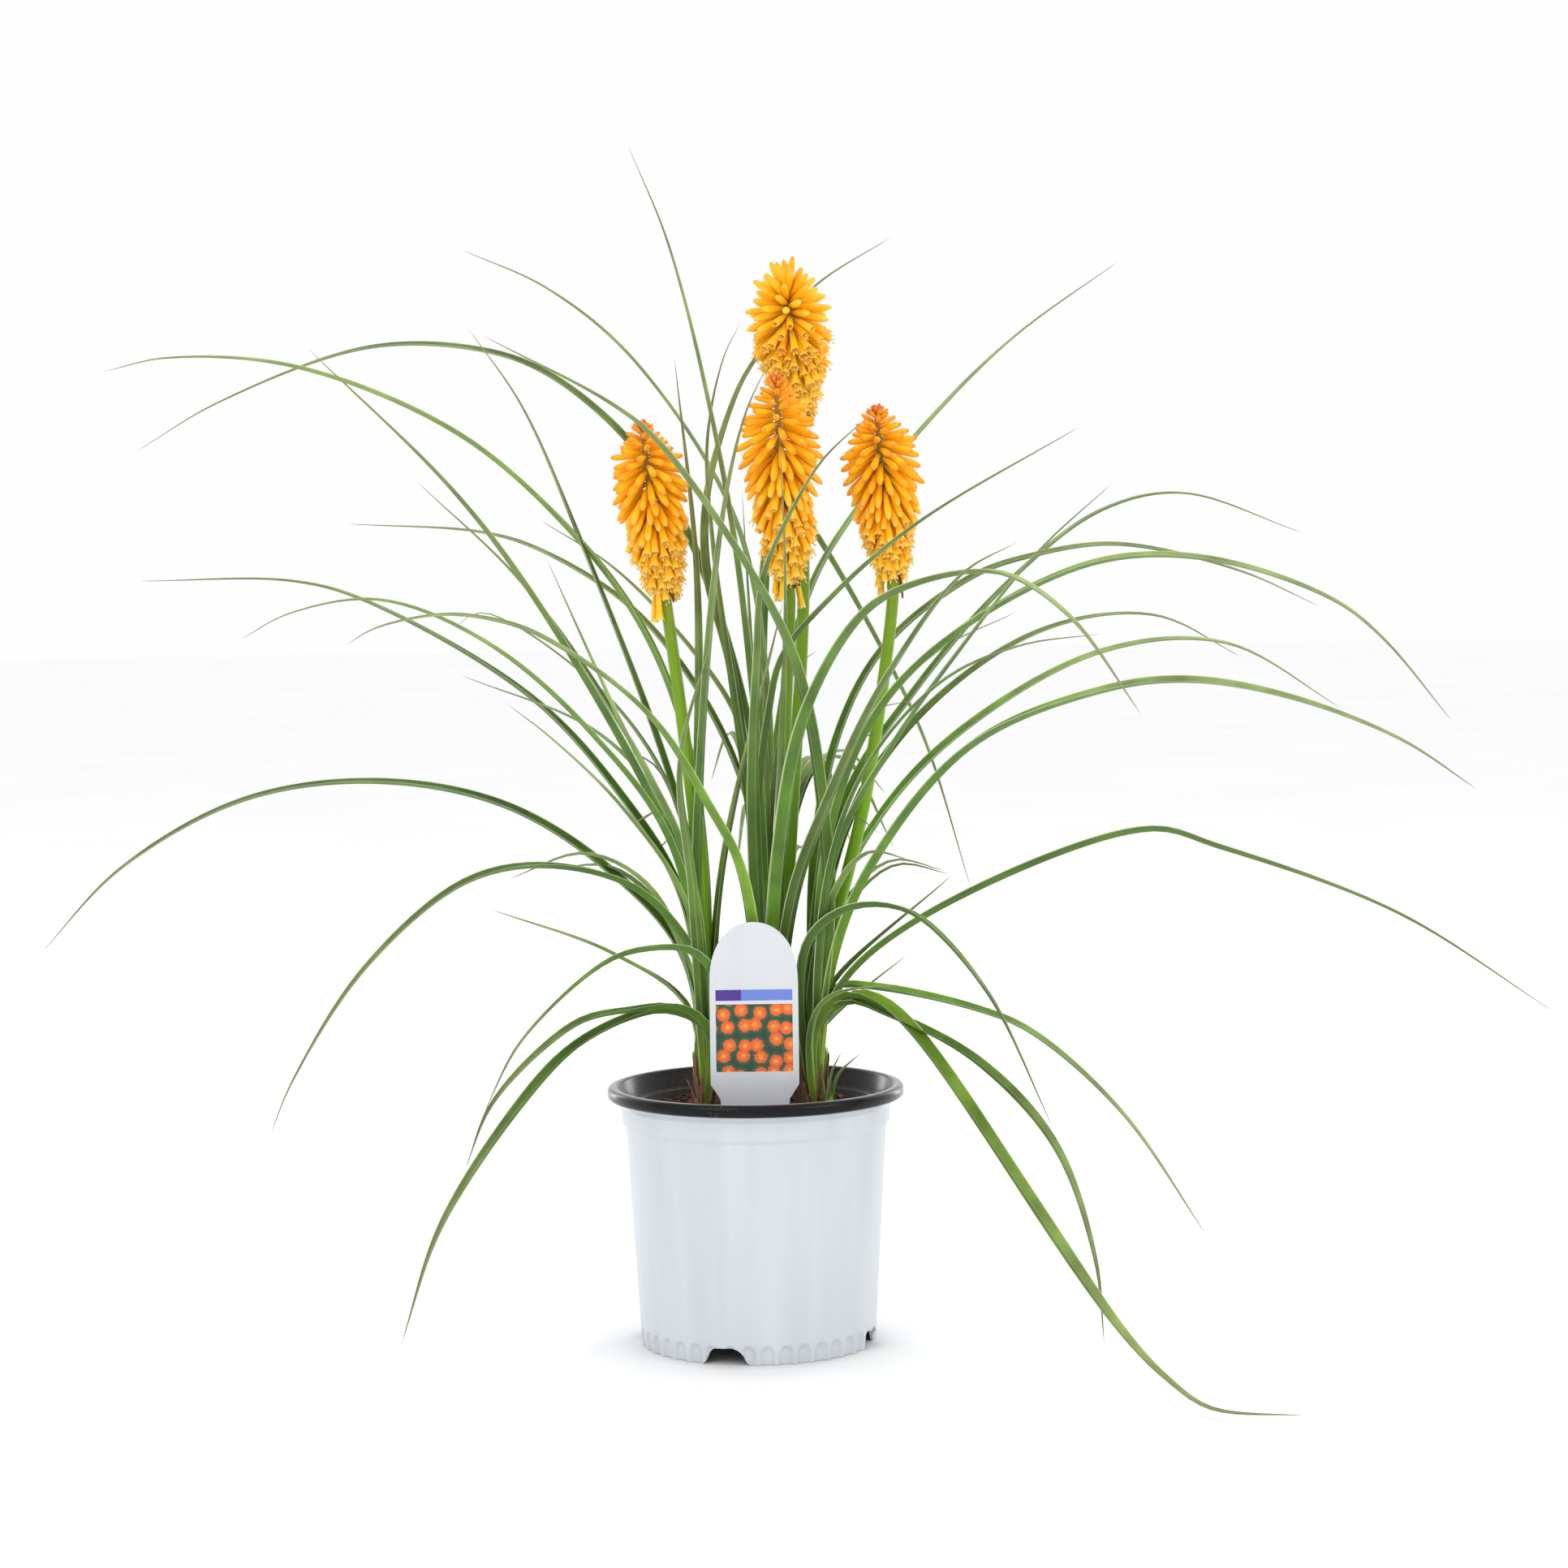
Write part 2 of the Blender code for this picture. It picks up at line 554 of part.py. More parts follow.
def tube(points, radii, sides):
    """A closed round stem through the points, with one radius at each."""
    bm = bmesh.new()
    rings = []
    for k, point in enumerate(points):
        tangent = (points[min(k + 1, len(points) - 1)] - points[max(k - 1, 0)]).normalized()
        side = Vector((1, 0, 0)) - tangent * tangent.x
        side.normalize()
        up = tangent.cross(side)
        ring = []
        for step in range(sides):
            angle = 2 * math.pi * step / sides
            offset = side * math.cos(angle) + up * math.sin(angle)
            ring.append(bm.verts.new(point + offset * radii[k]))
        rings.append(ring)
    for lower, upper in zip(rings, rings[1:]):
        for k in range(sides):
            after = (k + 1) % sides
            bm.faces.new((lower[k], lower[after], upper[after], upper[k]))
    bm.faces.new(rings[0])
    bm.faces.new(rings[-1])
    return bm


def fused(name, core, parts, finish, solver="EXACT"):
    """Join the parts to their core in one Boolean union, and keep the one body that it gives."""
    scene = bpy.context.scene.collection
    body = add_object(name, core, finish)
    group = bpy.data.collections.new(f"{name}_parts")
    scene.children.link(group)
    for number, bm in enumerate(parts):
        piece = add_object(f"{name}_{number}", bm, finish)
        scene.objects.unlink(piece)
        group.objects.link(piece)
    union = body.modifiers.new("union", "BOOLEAN")
    union.operation = "UNION"
    union.solver = solver
    union.operand_type = "COLLECTION"
    union.collection = group
    graph = bpy.context.evaluated_depsgraph_get()
    joined = bpy.data.meshes.new_from_object(body.evaluated_get(graph))
    body.modifiers.clear()
    body.data = joined
    for piece in list(group.objects):
        bpy.data.objects.remove(piece, do_unlink=True)
    bpy.data.collections.remove(group)
    keep_largest(joined)
    joined.materials.clear()
    joined.materials.append(finish)
    joined.shade_smooth()
    joined.set_sharp_from_angle(angle=math.radians(35))
    return body


def keep_largest(mesh):
    """Drop every loose scrap and sealed hollow, which leaves the one outer body."""
    bm = bmesh.new()
    bm.from_mesh(mesh)
    bmesh.ops.triangulate(bm, faces=bm.faces)
    waiting = set(bm.faces)
    shells = []
    while waiting:
        stack = [waiting.pop()]
        shell = set(stack)
        while stack:
            for edge in stack.pop().edges:
                if len(edge.link_faces) != 2:
                    continue
                for face in edge.link_faces:
                    if face in waiting:
                        waiting.remove(face)
                        shell.add(face)
                        stack.append(face)
        shells.append(shell)
    shells.sort(key=len)
    scraps = [face for shell in shells[:-1] for face in shell]
    bmesh.ops.delete(bm, geom=scraps, context="FACES")
    bm.to_mesh(mesh)
    bm.free()


def head_axis(head):
    """Unit direction of a flower head, from its underside to its tip."""
    return (Vector(head.tip) - Vector(head.base)).normalized()


def stalk_line(head):
    """The flower stalk's line from its crown up to just under the head."""
    root = Vector((head.root[0], head.root[1], LEAF_ROOT_Z / MM)) * MM
    base = Vector(head.base) * MM - head_axis(head) * STALK_SEAT
    points = [root]
    for x, z in head.stalk:
        share = (z * MM - root.z) / (base.z - root.z)
        depth = root.y + (base.y - root.y) * share
        points.append(EYE + (Vector((x * MM, 0, z * MM)) - EYE) * ((depth - EYE.y) / -EYE.y))
    points.append(base)
    return points


def build_crown(name, leaves, finish):
    """One crown: the old sheaths at its foot, its leaves and its flower stalks in one body."""
    crown = CROWNS[name]
    rng = random.Random(name)
    x, y = crown.x * MM, crown.y * MM
    foot = Vector((x, y, SOIL_TOP - HOLE_DEPTH + 0.6 * MM))
    sheath = [foot, Vector((x, y, SOIL_TOP)), Vector((x, y, SOIL_TOP + crown.height * 0.6 * MM)),
              Vector((x, y, SOIL_TOP + crown.height * MM))]
    radii = [crown.radius * share * MM for share in (0.8, 1.0, 1.1, 0.55)]
    core = tube(sheath, radii, 9)
    parts = []
    for leaf in leaves:
        parts.append(blade(lifted_line(leaf_root(crown, leaf), leaf), leaf.width,
                           rng.uniform(-0.7, 0.7)))
    for rule in FILLS[name]:
        inner = random.Random(rule.seed)
        for _ in range(rule.count):
            root = Vector((x, y, LEAF_ROOT_Z))
            root += Vector((inner.uniform(-2, 2), inner.uniform(-2, 2), 0)) * MM
            line = fill_line(root, rule, inner)
            parts.append(blade(line, inner.uniform(*rule.width), inner.uniform(-0.7, 0.7)))
    for head_name, head in HEADS.items():
        if STALK_CROWN[head_name] == name:
            line = smooth_line(stalk_line(head), STALK_STATION)
            line.append(Vector(head.base) * MM)
            parts.append(tube(line, [STALK_RADIUS] * len(line), STALK_SIDES))
    return fused(name, core, parts, finish)


def habit(rows, share):
    """How a floret stands at its share of the count, read between two rows."""
    for low, high in zip(rows, rows[1:]):
        if share <= high[0]:
            part = (share - low[0]) / (high[0] - low[0])
            return [a + (b - a) * part for a, b in zip(low[1:], high[1:])]
    return rows[-1][1:]


def floret(base, length, frame, share, angle, head, rng):
    """One floret: a short stalk out of the head, then a tube that hangs, spreads or stands up."""
    side, depth, axis = frame
    radius = head.radius * MM
    out = side * math.cos(angle) + depth * math.sin(angle)
    lift, reach, neck, thick, origin = habit(OPENED if head.open_top else BUDDED, share)
    lift = math.radians(max(STEEPEST, lift + rng.uniform(-7, 7)))
    reach *= radius * rng.uniform(0.9, 1.08)
    along = out * math.cos(lift) + axis * math.sin(lift)
    axis_point = base + axis * (length * origin)
    start = axis_point + out * 1.0 * MM
    bend = axis_point + out * neck * radius
    mouth = bend + along * reach
    radii = [value * thick * MM for value in (1.4, 2.4, 3.1)]
    return tube([start, bend, mouth], radii, 4)


def build_head(name, head, finish):
    """One flower head: a slim core with its florets set round it by the golden angle."""
    rng = random.Random(head.seed)
    base, tip = Vector(head.base) * MM, Vector(head.tip) * MM
    axis = head_axis(head)
    side = (Vector((1, 0, 0)) - axis * axis.x).normalized()
    frame = (side, axis.cross(side), axis)
    length = (tip - base).length
    shares = (0.0, 0.12, 0.3, 0.6, 0.82, 0.97)
    points = [base + axis * (CLEARANCE + (length - CLEARANCE) * share) for share in shares]
    radii = [value * MM for value in (3.4, 5.2, 9.6, 9.6, 6.0, 2.2)]
    core = tube(points, radii, 8)
    parts = []
    for number in range(FLORETS):
        share = (number + 0.5) / FLORETS
        angle = GOLDEN_ANGLE * number
        parts.append(floret(base, length, frame, share, angle, head, rng))
    return fused(name, core, parts, finish, "MANIFOLD")


def build_shoot(finish):
    """The young shoot beside the right crown: three narrow blades from one small sheath."""
    x, y = SHOOT_ROOT[0] * MM, SHOOT_ROOT[1] * MM
    points = [Vector((x, y, SOIL_TOP - HOLE_DEPTH + 0.6 * MM)), Vector((x, y, SOIL_TOP)),
              Vector((x, y, SOIL_TOP + 9 * MM))]
    core = tube(points, [2.6 * MM, 3.0 * MM, 1.6 * MM], 7)
    parts = []
    for leaf in SHOOT_LEAVES:
        root = Vector((x, y, LEAF_ROOT_Z))
        parts.append(blade(lifted_line(root, leaf), leaf.width, 0.3))
    return fused("young_shoot", core, parts, finish)


def main():
    clear_scene()
    leaf_green = material("leaf_green", (0.12, 0.24, 0.07), 0.5)
    petal = material("floret_orange", (0.95, 0.33, 0.02), 0.5)
    build_pot()
    build_soil()
    build_label()
    build_crown("left_crown", LEFT_LEAVES, leaf_green)
    build_crown("centre_crown", CENTRE_LEAVES, leaf_green)
    build_crown("right_crown", RIGHT_LEAVES, leaf_green)
    build_shoot(leaf_green)
    for name, head in HEADS.items():
        build_head(name, head, petal)


main()
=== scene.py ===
"""Studio dressing of a potted red hot poker in its nursery pot.

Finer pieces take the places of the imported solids: a moulded pot, bark soil, a plant label,
three fans of keeled leaves with their flower stalks, a young shoot and four flower heads.
Metres, +Z up, the front is -Y, and the origin is on the floor under the pot.
"""
import logging
import math
import random
import sys
from collections.abc import Callable, Sequence
from dataclasses import dataclass
from enum import Enum
from functools import partial

import bmesh
import bpy
from mathutils import Matrix, Vector, noise


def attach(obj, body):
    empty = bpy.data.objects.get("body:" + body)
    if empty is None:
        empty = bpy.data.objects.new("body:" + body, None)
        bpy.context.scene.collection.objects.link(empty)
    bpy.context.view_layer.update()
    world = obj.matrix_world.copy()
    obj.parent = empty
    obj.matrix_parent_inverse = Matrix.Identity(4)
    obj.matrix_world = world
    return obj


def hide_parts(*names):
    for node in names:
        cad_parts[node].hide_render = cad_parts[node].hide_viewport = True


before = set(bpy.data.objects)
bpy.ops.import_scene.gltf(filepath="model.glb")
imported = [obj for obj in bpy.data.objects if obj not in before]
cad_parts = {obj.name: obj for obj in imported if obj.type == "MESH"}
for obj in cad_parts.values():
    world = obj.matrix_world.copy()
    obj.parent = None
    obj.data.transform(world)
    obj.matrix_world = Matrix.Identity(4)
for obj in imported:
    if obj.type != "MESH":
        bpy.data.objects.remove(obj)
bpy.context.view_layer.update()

LOG = logging.getLogger("poker")
MM = 0.001
CM = 0.01
TURN = 2 * math.pi
SOIL_TOP = 130.0 * MM
HOLE_DEPTH = 16.0 * MM
GOLDEN_ANGLE = math.pi * (3 - math.sqrt(5))
EYE = Vector((18.0, -2000.0, 442.0)) * MM     # where the leaf lines are seen from
LEAF_ROOT_Z = 122.0 * MM
LEAF_FOLD = math.radians(36)
FLOOR_CLEAR = 3.2 * MM
DEPTH_POWER = 1.3        # a leaf goes back slowly at first
STALK_SEAT = 8.0 * MM

# Sockets go by number where names repeat: a colour mix has 0 share, 6 first and 7 second, and a
# map range has 0 value, 1 and 2 from, 3 and 4 to.
BLEND = {"data_type": "RGBA"}
TIMES = {"data_type": "RGBA", "blend_type": "MULTIPLY"}

Colour = tuple[float, float, float, float]
Pairs = list[tuple[float, float]]
Place = Callable[[float, float], Vector]
Chart = Callable[[float, float], tuple[float, ...]]
Feeds = dict[str | int, object]
AddNode = Callable[..., bpy.types.Node]


# Tables of the plant

@dataclass(frozen=True)
class Crown:
    """Where one fan of leaves leaves the soil, in mm, with the radius of its old sheaths."""

    x: float
    y: float
    radius: float
    height: float

    def around(self, radius: float, angle: float, z: float) -> Vector:
        """A point beside the crown's middle line, from metres and radians."""
        return Vector((self.x * MM + radius * math.cos(angle),
                       self.y * MM + radius * math.sin(angle), z))

    def girth(self, z: float) -> float:
        """Radius of the foot in mm at a height."""
        marks = ((SOIL_TOP - HOLE_DEPTH, 0.8), (SOIL_TOP, 1.0),
                 (SOIL_TOP + self.height * 0.6 * MM, 1.1), (SOIL_TOP + self.height * MM, 0.55))
        for (z0, r0), (z1, r1) in zip(marks, marks[1:]):
            if z <= z1:
                return self.radius * (r0 + (r1 - r0) * max(0.0, (z - z0) / (z1 - z0)))
        return self.radius * marks[-1][1]


@dataclass(frozen=True)
class Leaf:
    """A leaf in the front view in mm: how far back its tip lies, its width, x and z by turns."""

    depth: float
    width: float
    ends: tuple[float, ...]

    @property
    def line(self) -> tuple[tuple[float, float], ...]:
        """The leaf's points (x, z), outwards."""
        return tuple(zip(self.ends[::2], self.ends[1::2]))


@dataclass(frozen=True)
class Fill:
    """Inner leaves set round a crown by a seeded rule, in mm and degrees."""

    count: int
    azimuth: tuple[float, float]
    height: tuple[float, float]
    reach: tuple[float, float]
    droop: tuple[float, float]
    width: tuple[float, float]
    seed: int


class Bloom(Enum):
    """How far a flower head has opened."""

    BUDDED = "buds at the tip"
    OPEN = "open to the tip"


@dataclass(frozen=True)
class Opening:
    """What a head's state changes, as shares of its length or of a colour's range."""

    spindle: float           # where the spindle ends
    opened: float            # below this the tubes are open
    paler: float             # added to the random tint
    aged: float              # how far up the range of ages the tip comes


@dataclass(frozen=True)
class Head:
    """A flower head in mm: the stalk's line in the front view, then the head's two ends."""

    crown: str
    root: tuple[float, float]
    stalk: tuple[tuple[float, float], ...]
    base: tuple[float, float, float]
    tip: tuple[float, float, float]
    radius: float
    seed: int
    bloom: Bloom = Bloom.BUDDED


CROWNS = {
    "left_crown": Crown(-26, 2, 7.5, 60),
    "centre_crown": Crown(8, 26, 9.0, 74),
    "right_crown": Crown(31, 4, 8.0, 50),
}

LEAVES = {
    "left_crown": (
        Leaf(64, 10, (-27, 260, -36, 333, -57, 393, -93, 446, -157, 505, -247, 544, -318, 550, -353, 543)),
        Leaf(-60, 8, (-37, 256, -61, 313, -122, 420, -164, 477, -240, 554)),
        Leaf(50, 6, (-35, 261, -56, 315, -122, 420, -182, 481)),
        Leaf(40, 7, (-32, 256, -47, 319, -95, 453, -124, 522, -152, 564)),
        Leaf(130, 8, (-40, 247, -75, 308, -123, 362, -213, 416, -252, 427, -336, 428)),
        Leaf(-110, 8, (-44, 274, -88, 340, -146, 392, -204, 416, -254, 409, -281, 395)),
        Leaf(100, 5, (-30, 256, -48, 315, -79, 361, -131, 402, -150, 408, -164, 399)),
        Leaf(60, 6, (-33, 252, -52, 304, -86, 342, -160, 374)),
        Leaf(-80, 5, (-37, 243, -70, 297, -110, 338, -135, 358)),
        Leaf(-90, 6, (-35, 261, -74, 350, -111, 437)),
        Leaf(90, 9, (-40, 215, -82, 265, -138, 301, -209, 315, -281, 306, -350, 269, -397, 221)),
        Leaf(-90, 9, (-24, 179, -35, 218, -66, 254, -116, 267, -160, 258, -216, 211, -258, 148, -271,
                      118)),
        Leaf(70, 6, (-38, 188, -78, 218, -146, 244)),
        Leaf(-110, 8, (-23, 202, -35, 218, -58, 220, -82, 213, -129, 171, -153, 127)),
        Leaf(-130, 8, (-28, 175, -42, 187, -68, 186, -98, 179, -145, 137, -163, 97)),
        Leaf(-170, 9, (-28, 174, -48, 185, -68, 182, -99, 166, -129, 136, -176, 67, -200, 0)),
        Leaf(30, 7, (-30, 279, -29, 431, -39, 546)),
        Leaf(-40, 7, (-30, 257, -16, 445, -1, 514, 13, 544)),
        Leaf(-85, 7, (-33, 254, -39, 323, -22, 389)),
        Leaf(-5, 9, (-17, 257, 19, 413)),
    ),
    "centre_crown": (
        Leaf(190, 9, (4, 274, -4, 350, -36, 453, -67, 502, -111, 539, -147, 552, -208, 554, -291, 525,
                      -336, 499)),
        Leaf(100, 8, (8, 274, 9, 363, -8, 459, -61, 545, -108, 585, -155, 607)),
        Leaf(-15, 7, (5, 274, 0, 364, -13, 477, -41, 606, -63, 663)),
        Leaf(20, 6, (1, 269, -20, 445, -22, 501, -12, 547, -2, 566)),
        Leaf(70, 5, (5, 274, -3, 474)),
        Leaf(170, 9, (10, 269, 18, 350, 35, 419, 60, 461, 108, 518, 148, 556, 205, 596)),
        Leaf(170, 8, (7, 319, 8, 404, 14, 453, 24, 464, 35, 451, 92, 344, 121, 252)),
        Leaf(-245, 9, (-7, 260, -25, 299, -58, 352, -116, 395, -146, 405, -172, 407, -207, 400, -223,
                       391)),
        Leaf(70, 7, (4, 278, -2, 323, -11, 354, -42, 398, -76, 433, -115, 459)),
        Leaf(40, 8, (1, 274, -6, 312, -28, 361, -65, 409, -113, 441, -145, 452, -221, 458)),
        Leaf(60, 9, (4, 269, -9, 377, -22, 431, -21, 473, -4, 528, 8, 548, 38, 584, 81, 611)),
        Leaf(-230, 12, (17, 273, 33, 352, 63, 403, 86, 418, 127, 427, 147, 423, 178, 400, 216, 347)),
        Leaf(-190, 8, (22, 244, 47, 311, 77, 371, 118, 426, 148, 443)),
        Leaf(-125, 9, (3, 251, 2, 319, 5, 380, 9, 426, 29, 470, 43, 491, 68, 514)),
        Leaf(-97, 4, (12, 260, 17, 330, 20, 426, 18, 507)),
        Leaf(-118, 8, (2, 268, 6, 315, 11, 350, 19, 382, 47, 415, 93, 454, 183, 506)),
    ),
    "right_crown": (
        Leaf(-130, 9, (40, 242, 40, 273, 30, 355, 14, 403, -48, 499, -72, 520, -144, 560)),
        Leaf(120, 9, (37, 278, 52, 345, 77, 388, 124, 424, 156, 435, 203, 441, 270, 426, 316, 405)),
        Leaf(-70, 11, (42, 273, 65, 340, 98, 380, 155, 417, 203, 433, 259, 431, 322, 409, 349, 388, 388,
                       341)),
        Leaf(130, 8, (51, 296, 92, 362, 147, 424, 195, 460, 239, 469, 306, 446)),
        Leaf(-120, 8, (46, 269, 78, 331, 113, 380, 160, 438, 201, 475)),
        Leaf(90, 6, (44, 282, 70, 349, 103, 383, 148, 405)),
        Leaf(-110, 6, (42, 260, 65, 322, 106, 367, 149, 386, 194, 392)),
        Leaf(110, 8, (49, 273, 87, 340, 159, 393, 223, 402, 272, 378)),
        Leaf(40, 9, (44, 237, 74, 295, 119, 340, 195, 382, 263, 386, 327, 349)),
        Leaf(-110, 12, (46, 214, 69, 268, 123, 331, 195, 360, 241, 365, 295, 356, 358, 332, 402, 303)),
        Leaf(-130, 9, (38, 174, 54, 205, 104, 241, 220, 283, 258, 273, 356, 236, 447, 177)),
        Leaf(-100, 8, (27, 196, 33, 225, 49, 239, 68, 243, 90, 237, 129, 194, 166, 116)),
        Leaf(-50, 8, (34, 178, 45, 197, 65, 197, 123, 184, 153, 171, 203, 126, 251, 55)),
        Leaf(-150, 8, (36, 174, 52, 189, 73, 182, 123, 155, 166, 108, 188, 44, 193, -5)),
        Leaf(-230, 12, (36, 176, 52, 192, 65, 190, 83, 176, 202, 2, 229, -27, 251, -42, 306, -47)),
        Leaf(-60, 5, (32, 176, 43, 193, 82, 199)),
        Leaf(35, 5, (35, 169, 52, 189, 86, 216)),
        Leaf(-20, 6, (34, 174, 45, 201, 111, 260)),
    ),
}

FILLS = {
    "left_crown": (Fill(6, (120, 250), (150, 250), (40, 110), (0, 40), (6, 8), 11),),
    "centre_crown": (
        Fill(4, (50, 130), (200, 300), (40, 90), (0, 20), (6, 8), 12),
        Fill(7, (58, 122), (190, 270), (150, 218), (60, 140), (7, 9), 13),
    ),
    "right_crown": (Fill(6, (-70, 50), (150, 250), (40, 110), (0, 40), (6, 8), 14),),
}

HEADS = {
    "flower_head_1": Head("left_crown", (-25, 0), ((-29, 260),), (-46, -5, 416), (-58, -7, 513),
                          20, 21),
    "flower_head_2": Head("centre_crown", (9, 22.5), ((13, 237),), (22, -22, 422), (16, -24, 537),
                          21, 22),
    "flower_head_3": Head("centre_crown", (10, 28), ((24, 318), (30, 412)), (29, 27, 519),
                          (21, 12, 603), 23, 23, Bloom.OPEN),
    "flower_head_4": Head("right_crown", (33, 4), ((39, 205), (63, 304)), (79, 0, 426),
                          (71, -2, 520), 20, 24),
}
OPENINGS = {
    Bloom.BUDDED: Opening(0.95, 0.42, 0.0, 1.0),
    Bloom.OPEN: Opening(0.74, 0.74, 0.35, 0.6),
}

# share of the count: rise in degrees, length, neck, girth, start
HABITS = {
    Bloom.BUDDED: (
        (0.0, -84, 0.85, 0.20, 0.95, 0.15), (0.15, -74, 0.90, 0.27, 1.0, 0.27),
        (0.35, -64, 0.94, 0.33, 1.0, 0.43), (0.55, -52, 0.95, 0.34, 1.0, 0.59),
        (0.7, -27, 0.86, 0.33, 1.0, 0.71), (0.8, -3, 0.68, 0.27, 0.9, 0.79),
        (0.88, 20, 0.42, 0.17, 0.72, 0.865), (0.94, 44, 0.25, 0.10, 0.58, 0.93),
        (1.0, 78, 0.15, 0.04, 0.44, 0.968),
    ),
    Bloom.OPEN: (
        (0.0, -84, 0.75, 0.20, 0.95, 0.15), (0.15, -74, 0.78, 0.26, 1.0, 0.243),
        (0.4, -58, 0.80, 0.30, 1.0, 0.398), (0.6, -40, 0.78, 0.30, 1.0, 0.522),
        (0.75, -12, 0.76, 0.24, 1.0, 0.615), (0.85, 18, 0.75, 0.17, 1.0, 0.677),
        (0.93, 48, 0.75, 0.10, 1.0, 0.727), (1.0, 82, 0.75, 0.04, 0.95, 0.77),
    ),
}

SHOOT_ROOT = (41, -10)
SHOOT_LEAVES = (
    Leaf(-4, 3.5, (42, 148, 48, 162)),
    Leaf(3, 3.5, (46, 148, 59, 161)),
    Leaf(2, 3.0, (38, 142, 37, 151)),
)


# Helpers

def linear(code: str) -> Colour:
    """Turn an sRGB hex code into linear colour.

    Args:
        code: a hash and six hex digits.

    Returns:
        Linear red, green and blue with an alpha of one.
    """
    shown = [int(code[k:k + 2], 16) / 255 for k in (1, 3, 5)]
    red, green, blue = (v / 12.92 if v <= 0.04045 else ((v + 0.055) / 1.055) ** 2.4
                        for v in shown)
    return (red, green, blue, 1.0)


def tone(value: str | float) -> Colour:
    """The colour of a hex code, or an even grey of one linear value."""
    return linear(value) if isinstance(value, str) else (value, value, value, 1.0)


def feed(tree: bpy.types.NodeTree, node: bpy.types.Node, feeds: Feeds) -> None:
    """Give a node what its sockets take.

    Args:
        tree: the material's node tree.
        node: the node.
        feeds: by socket name or number, a plain value, a hex code, a socket, or a node that
            stands for the first of its outputs in use.
    """
    for socket, source in feeds.items():
        if isinstance(source, bpy.types.Node):
            source = next(output for output in source.outputs if output.enabled)
        if isinstance(source, bpy.types.NodeSocket):
            tree.links.new(source, node.inputs[socket])
        else:
            value = linear(source) if isinstance(source, str) else source
            node.inputs[socket].default_value = value


def add_node(tree: bpy.types.NodeTree, kind: str, feeds: Feeds | None = None,
             stops: dict[float, str | float] | None = None, **settings) -> bpy.types.Node:
    """Add one node to a material.

    Args:
        tree: the material's node tree.
        kind: the node's type name after its common start.
        feeds: what its sockets take.
        stops: hex codes or greys by their places, for a node with a colour ramp.
        settings: properties of the node itself.

    Returns:
        The new node.
    """
    node = tree.nodes.new(f"ShaderNode{kind}")
    for name, value in settings.items():
        setattr(node, name, value)
    feed(tree, node, feeds or {})
    if stops:
        ramp = node.color_ramp
        (first, low), *middle, (last, high) = stops.items()
        ramp.elements[0].position, ramp.elements[0].color = first, tone(low)
        ramp.elements[-1].position, ramp.elements[-1].color = last, tone(high)
        for place, value in middle:
            ramp.elements.new(place).color = tone(value)
    return node


def spline_point(a: Vector, b: Vector, c: Vector, d: Vector, share: float) -> Vector:
    """One point of a centripetal Catmull-Rom span between b and c.

    Args:
        a, b, c, d: four points of the line in order.
        share: how far along the span, from 0 to 1.

    Returns:
        The point on the curve.
    """
    t1 = math.sqrt((b - a).length)
    t2 = t1 + math.sqrt((c - b).length)
    t3 = t2 + math.sqrt((d - c).length)
    t = t1 + (t2 - t1) * share
    first = a.lerp(b, t / t1)
    second = b.lerp(c, (t - t1) / (t2 - t1))
    third = c.lerp(d, (t - t2) / (t3 - t2))
    left = first.lerp(second, t / t2)
    right = second.lerp(third, (t - t1) / (t3 - t1))
    return left.lerp(right, (t - t1) / (t2 - t1))


def even_line(points: Sequence[Vector], spacing: float, least: int = 12) -> list[Vector]:
    """Even points along the smooth curve through some points.

    Args:
        points: the curve's own points.
        spacing: wanted distance between the new points.
        least: the fewest steps that the curve is cut into.

    Returns:
        The new points, ends included.
    """
    chain = [points[0] * 2 - points[1], *points, points[-1] * 2 - points[-2]]
    dense = []
    for k in range(1, len(chain) - 2):
        for step in range(12):
            dense.append(spline_point(*chain[k - 1:k + 3], step / 12))
    dense.append(points[-1])
    runs = [0.0]
    for before, after in zip(dense, dense[1:]):
        runs.append(runs[-1] + (after - before).length)
    count = max(least, round(runs[-1] / spacing))
    spread = []
    index = 0
    for k in range(count + 1):
        wanted = runs[-1] * k / count
        while index < len(dense) - 2 and runs[index + 1] < wanted:
            index += 1
        share = (wanted - runs[index]) / (runs[index + 1] - runs[index])
        spread.append(dense[index].lerp(dense[index + 1], share))
    return spread


def heading(line: Sequence[Vector], k: int) -> Vector:
    """Unit direction of a line of points at one of them."""
    return (line[min(k + 1, len(line) - 1)] - line[max(k - 1, 0)]).normalized()


def soil_wave(x: float, y: float) -> float:
    """Height of the rough soil surface above its mean level at a place."""
    a = math.sin(x / (9 * MM) + 0.7) * math.cos(y / (11 * MM) - 0.4)
    b = math.sin((x + 1.7 * y) / (6.1 * MM)) * 0.45
    c = math.cos((1.3 * x - y) / (17 * MM)) * 0.6
    return 2.2 * MM * (a + b + c) / 2


def pot_inside(z: float) -> float:
    """Inner radius of the pot below its ledge at a height."""
    return (62.4 + 8.0 * (z - 12 * MM) / (121 * MM)) * MM


def sighted(x: float, z: float, depth: float) -> Vector:
    """Carry a front-view point in mm along its sight line to a depth in metres."""
    return EYE + (Vector((x * MM, 0.0, z * MM)) - EYE) * ((depth - EYE.y) / -EYE.y)


def line_length(line: Sequence[Vector]) -> float:
    """Length of a line of points."""
    return sum((b - a).length for a, b in zip(line, line[1:]))


def add_object(name: str, data: bpy.types.ID) -> bpy.types.Object:
    """Put a new object with its data into the scene."""
    made = bpy.data.objects.new(name, data)
    bpy.context.scene.collection.objects.link(made)
    return made


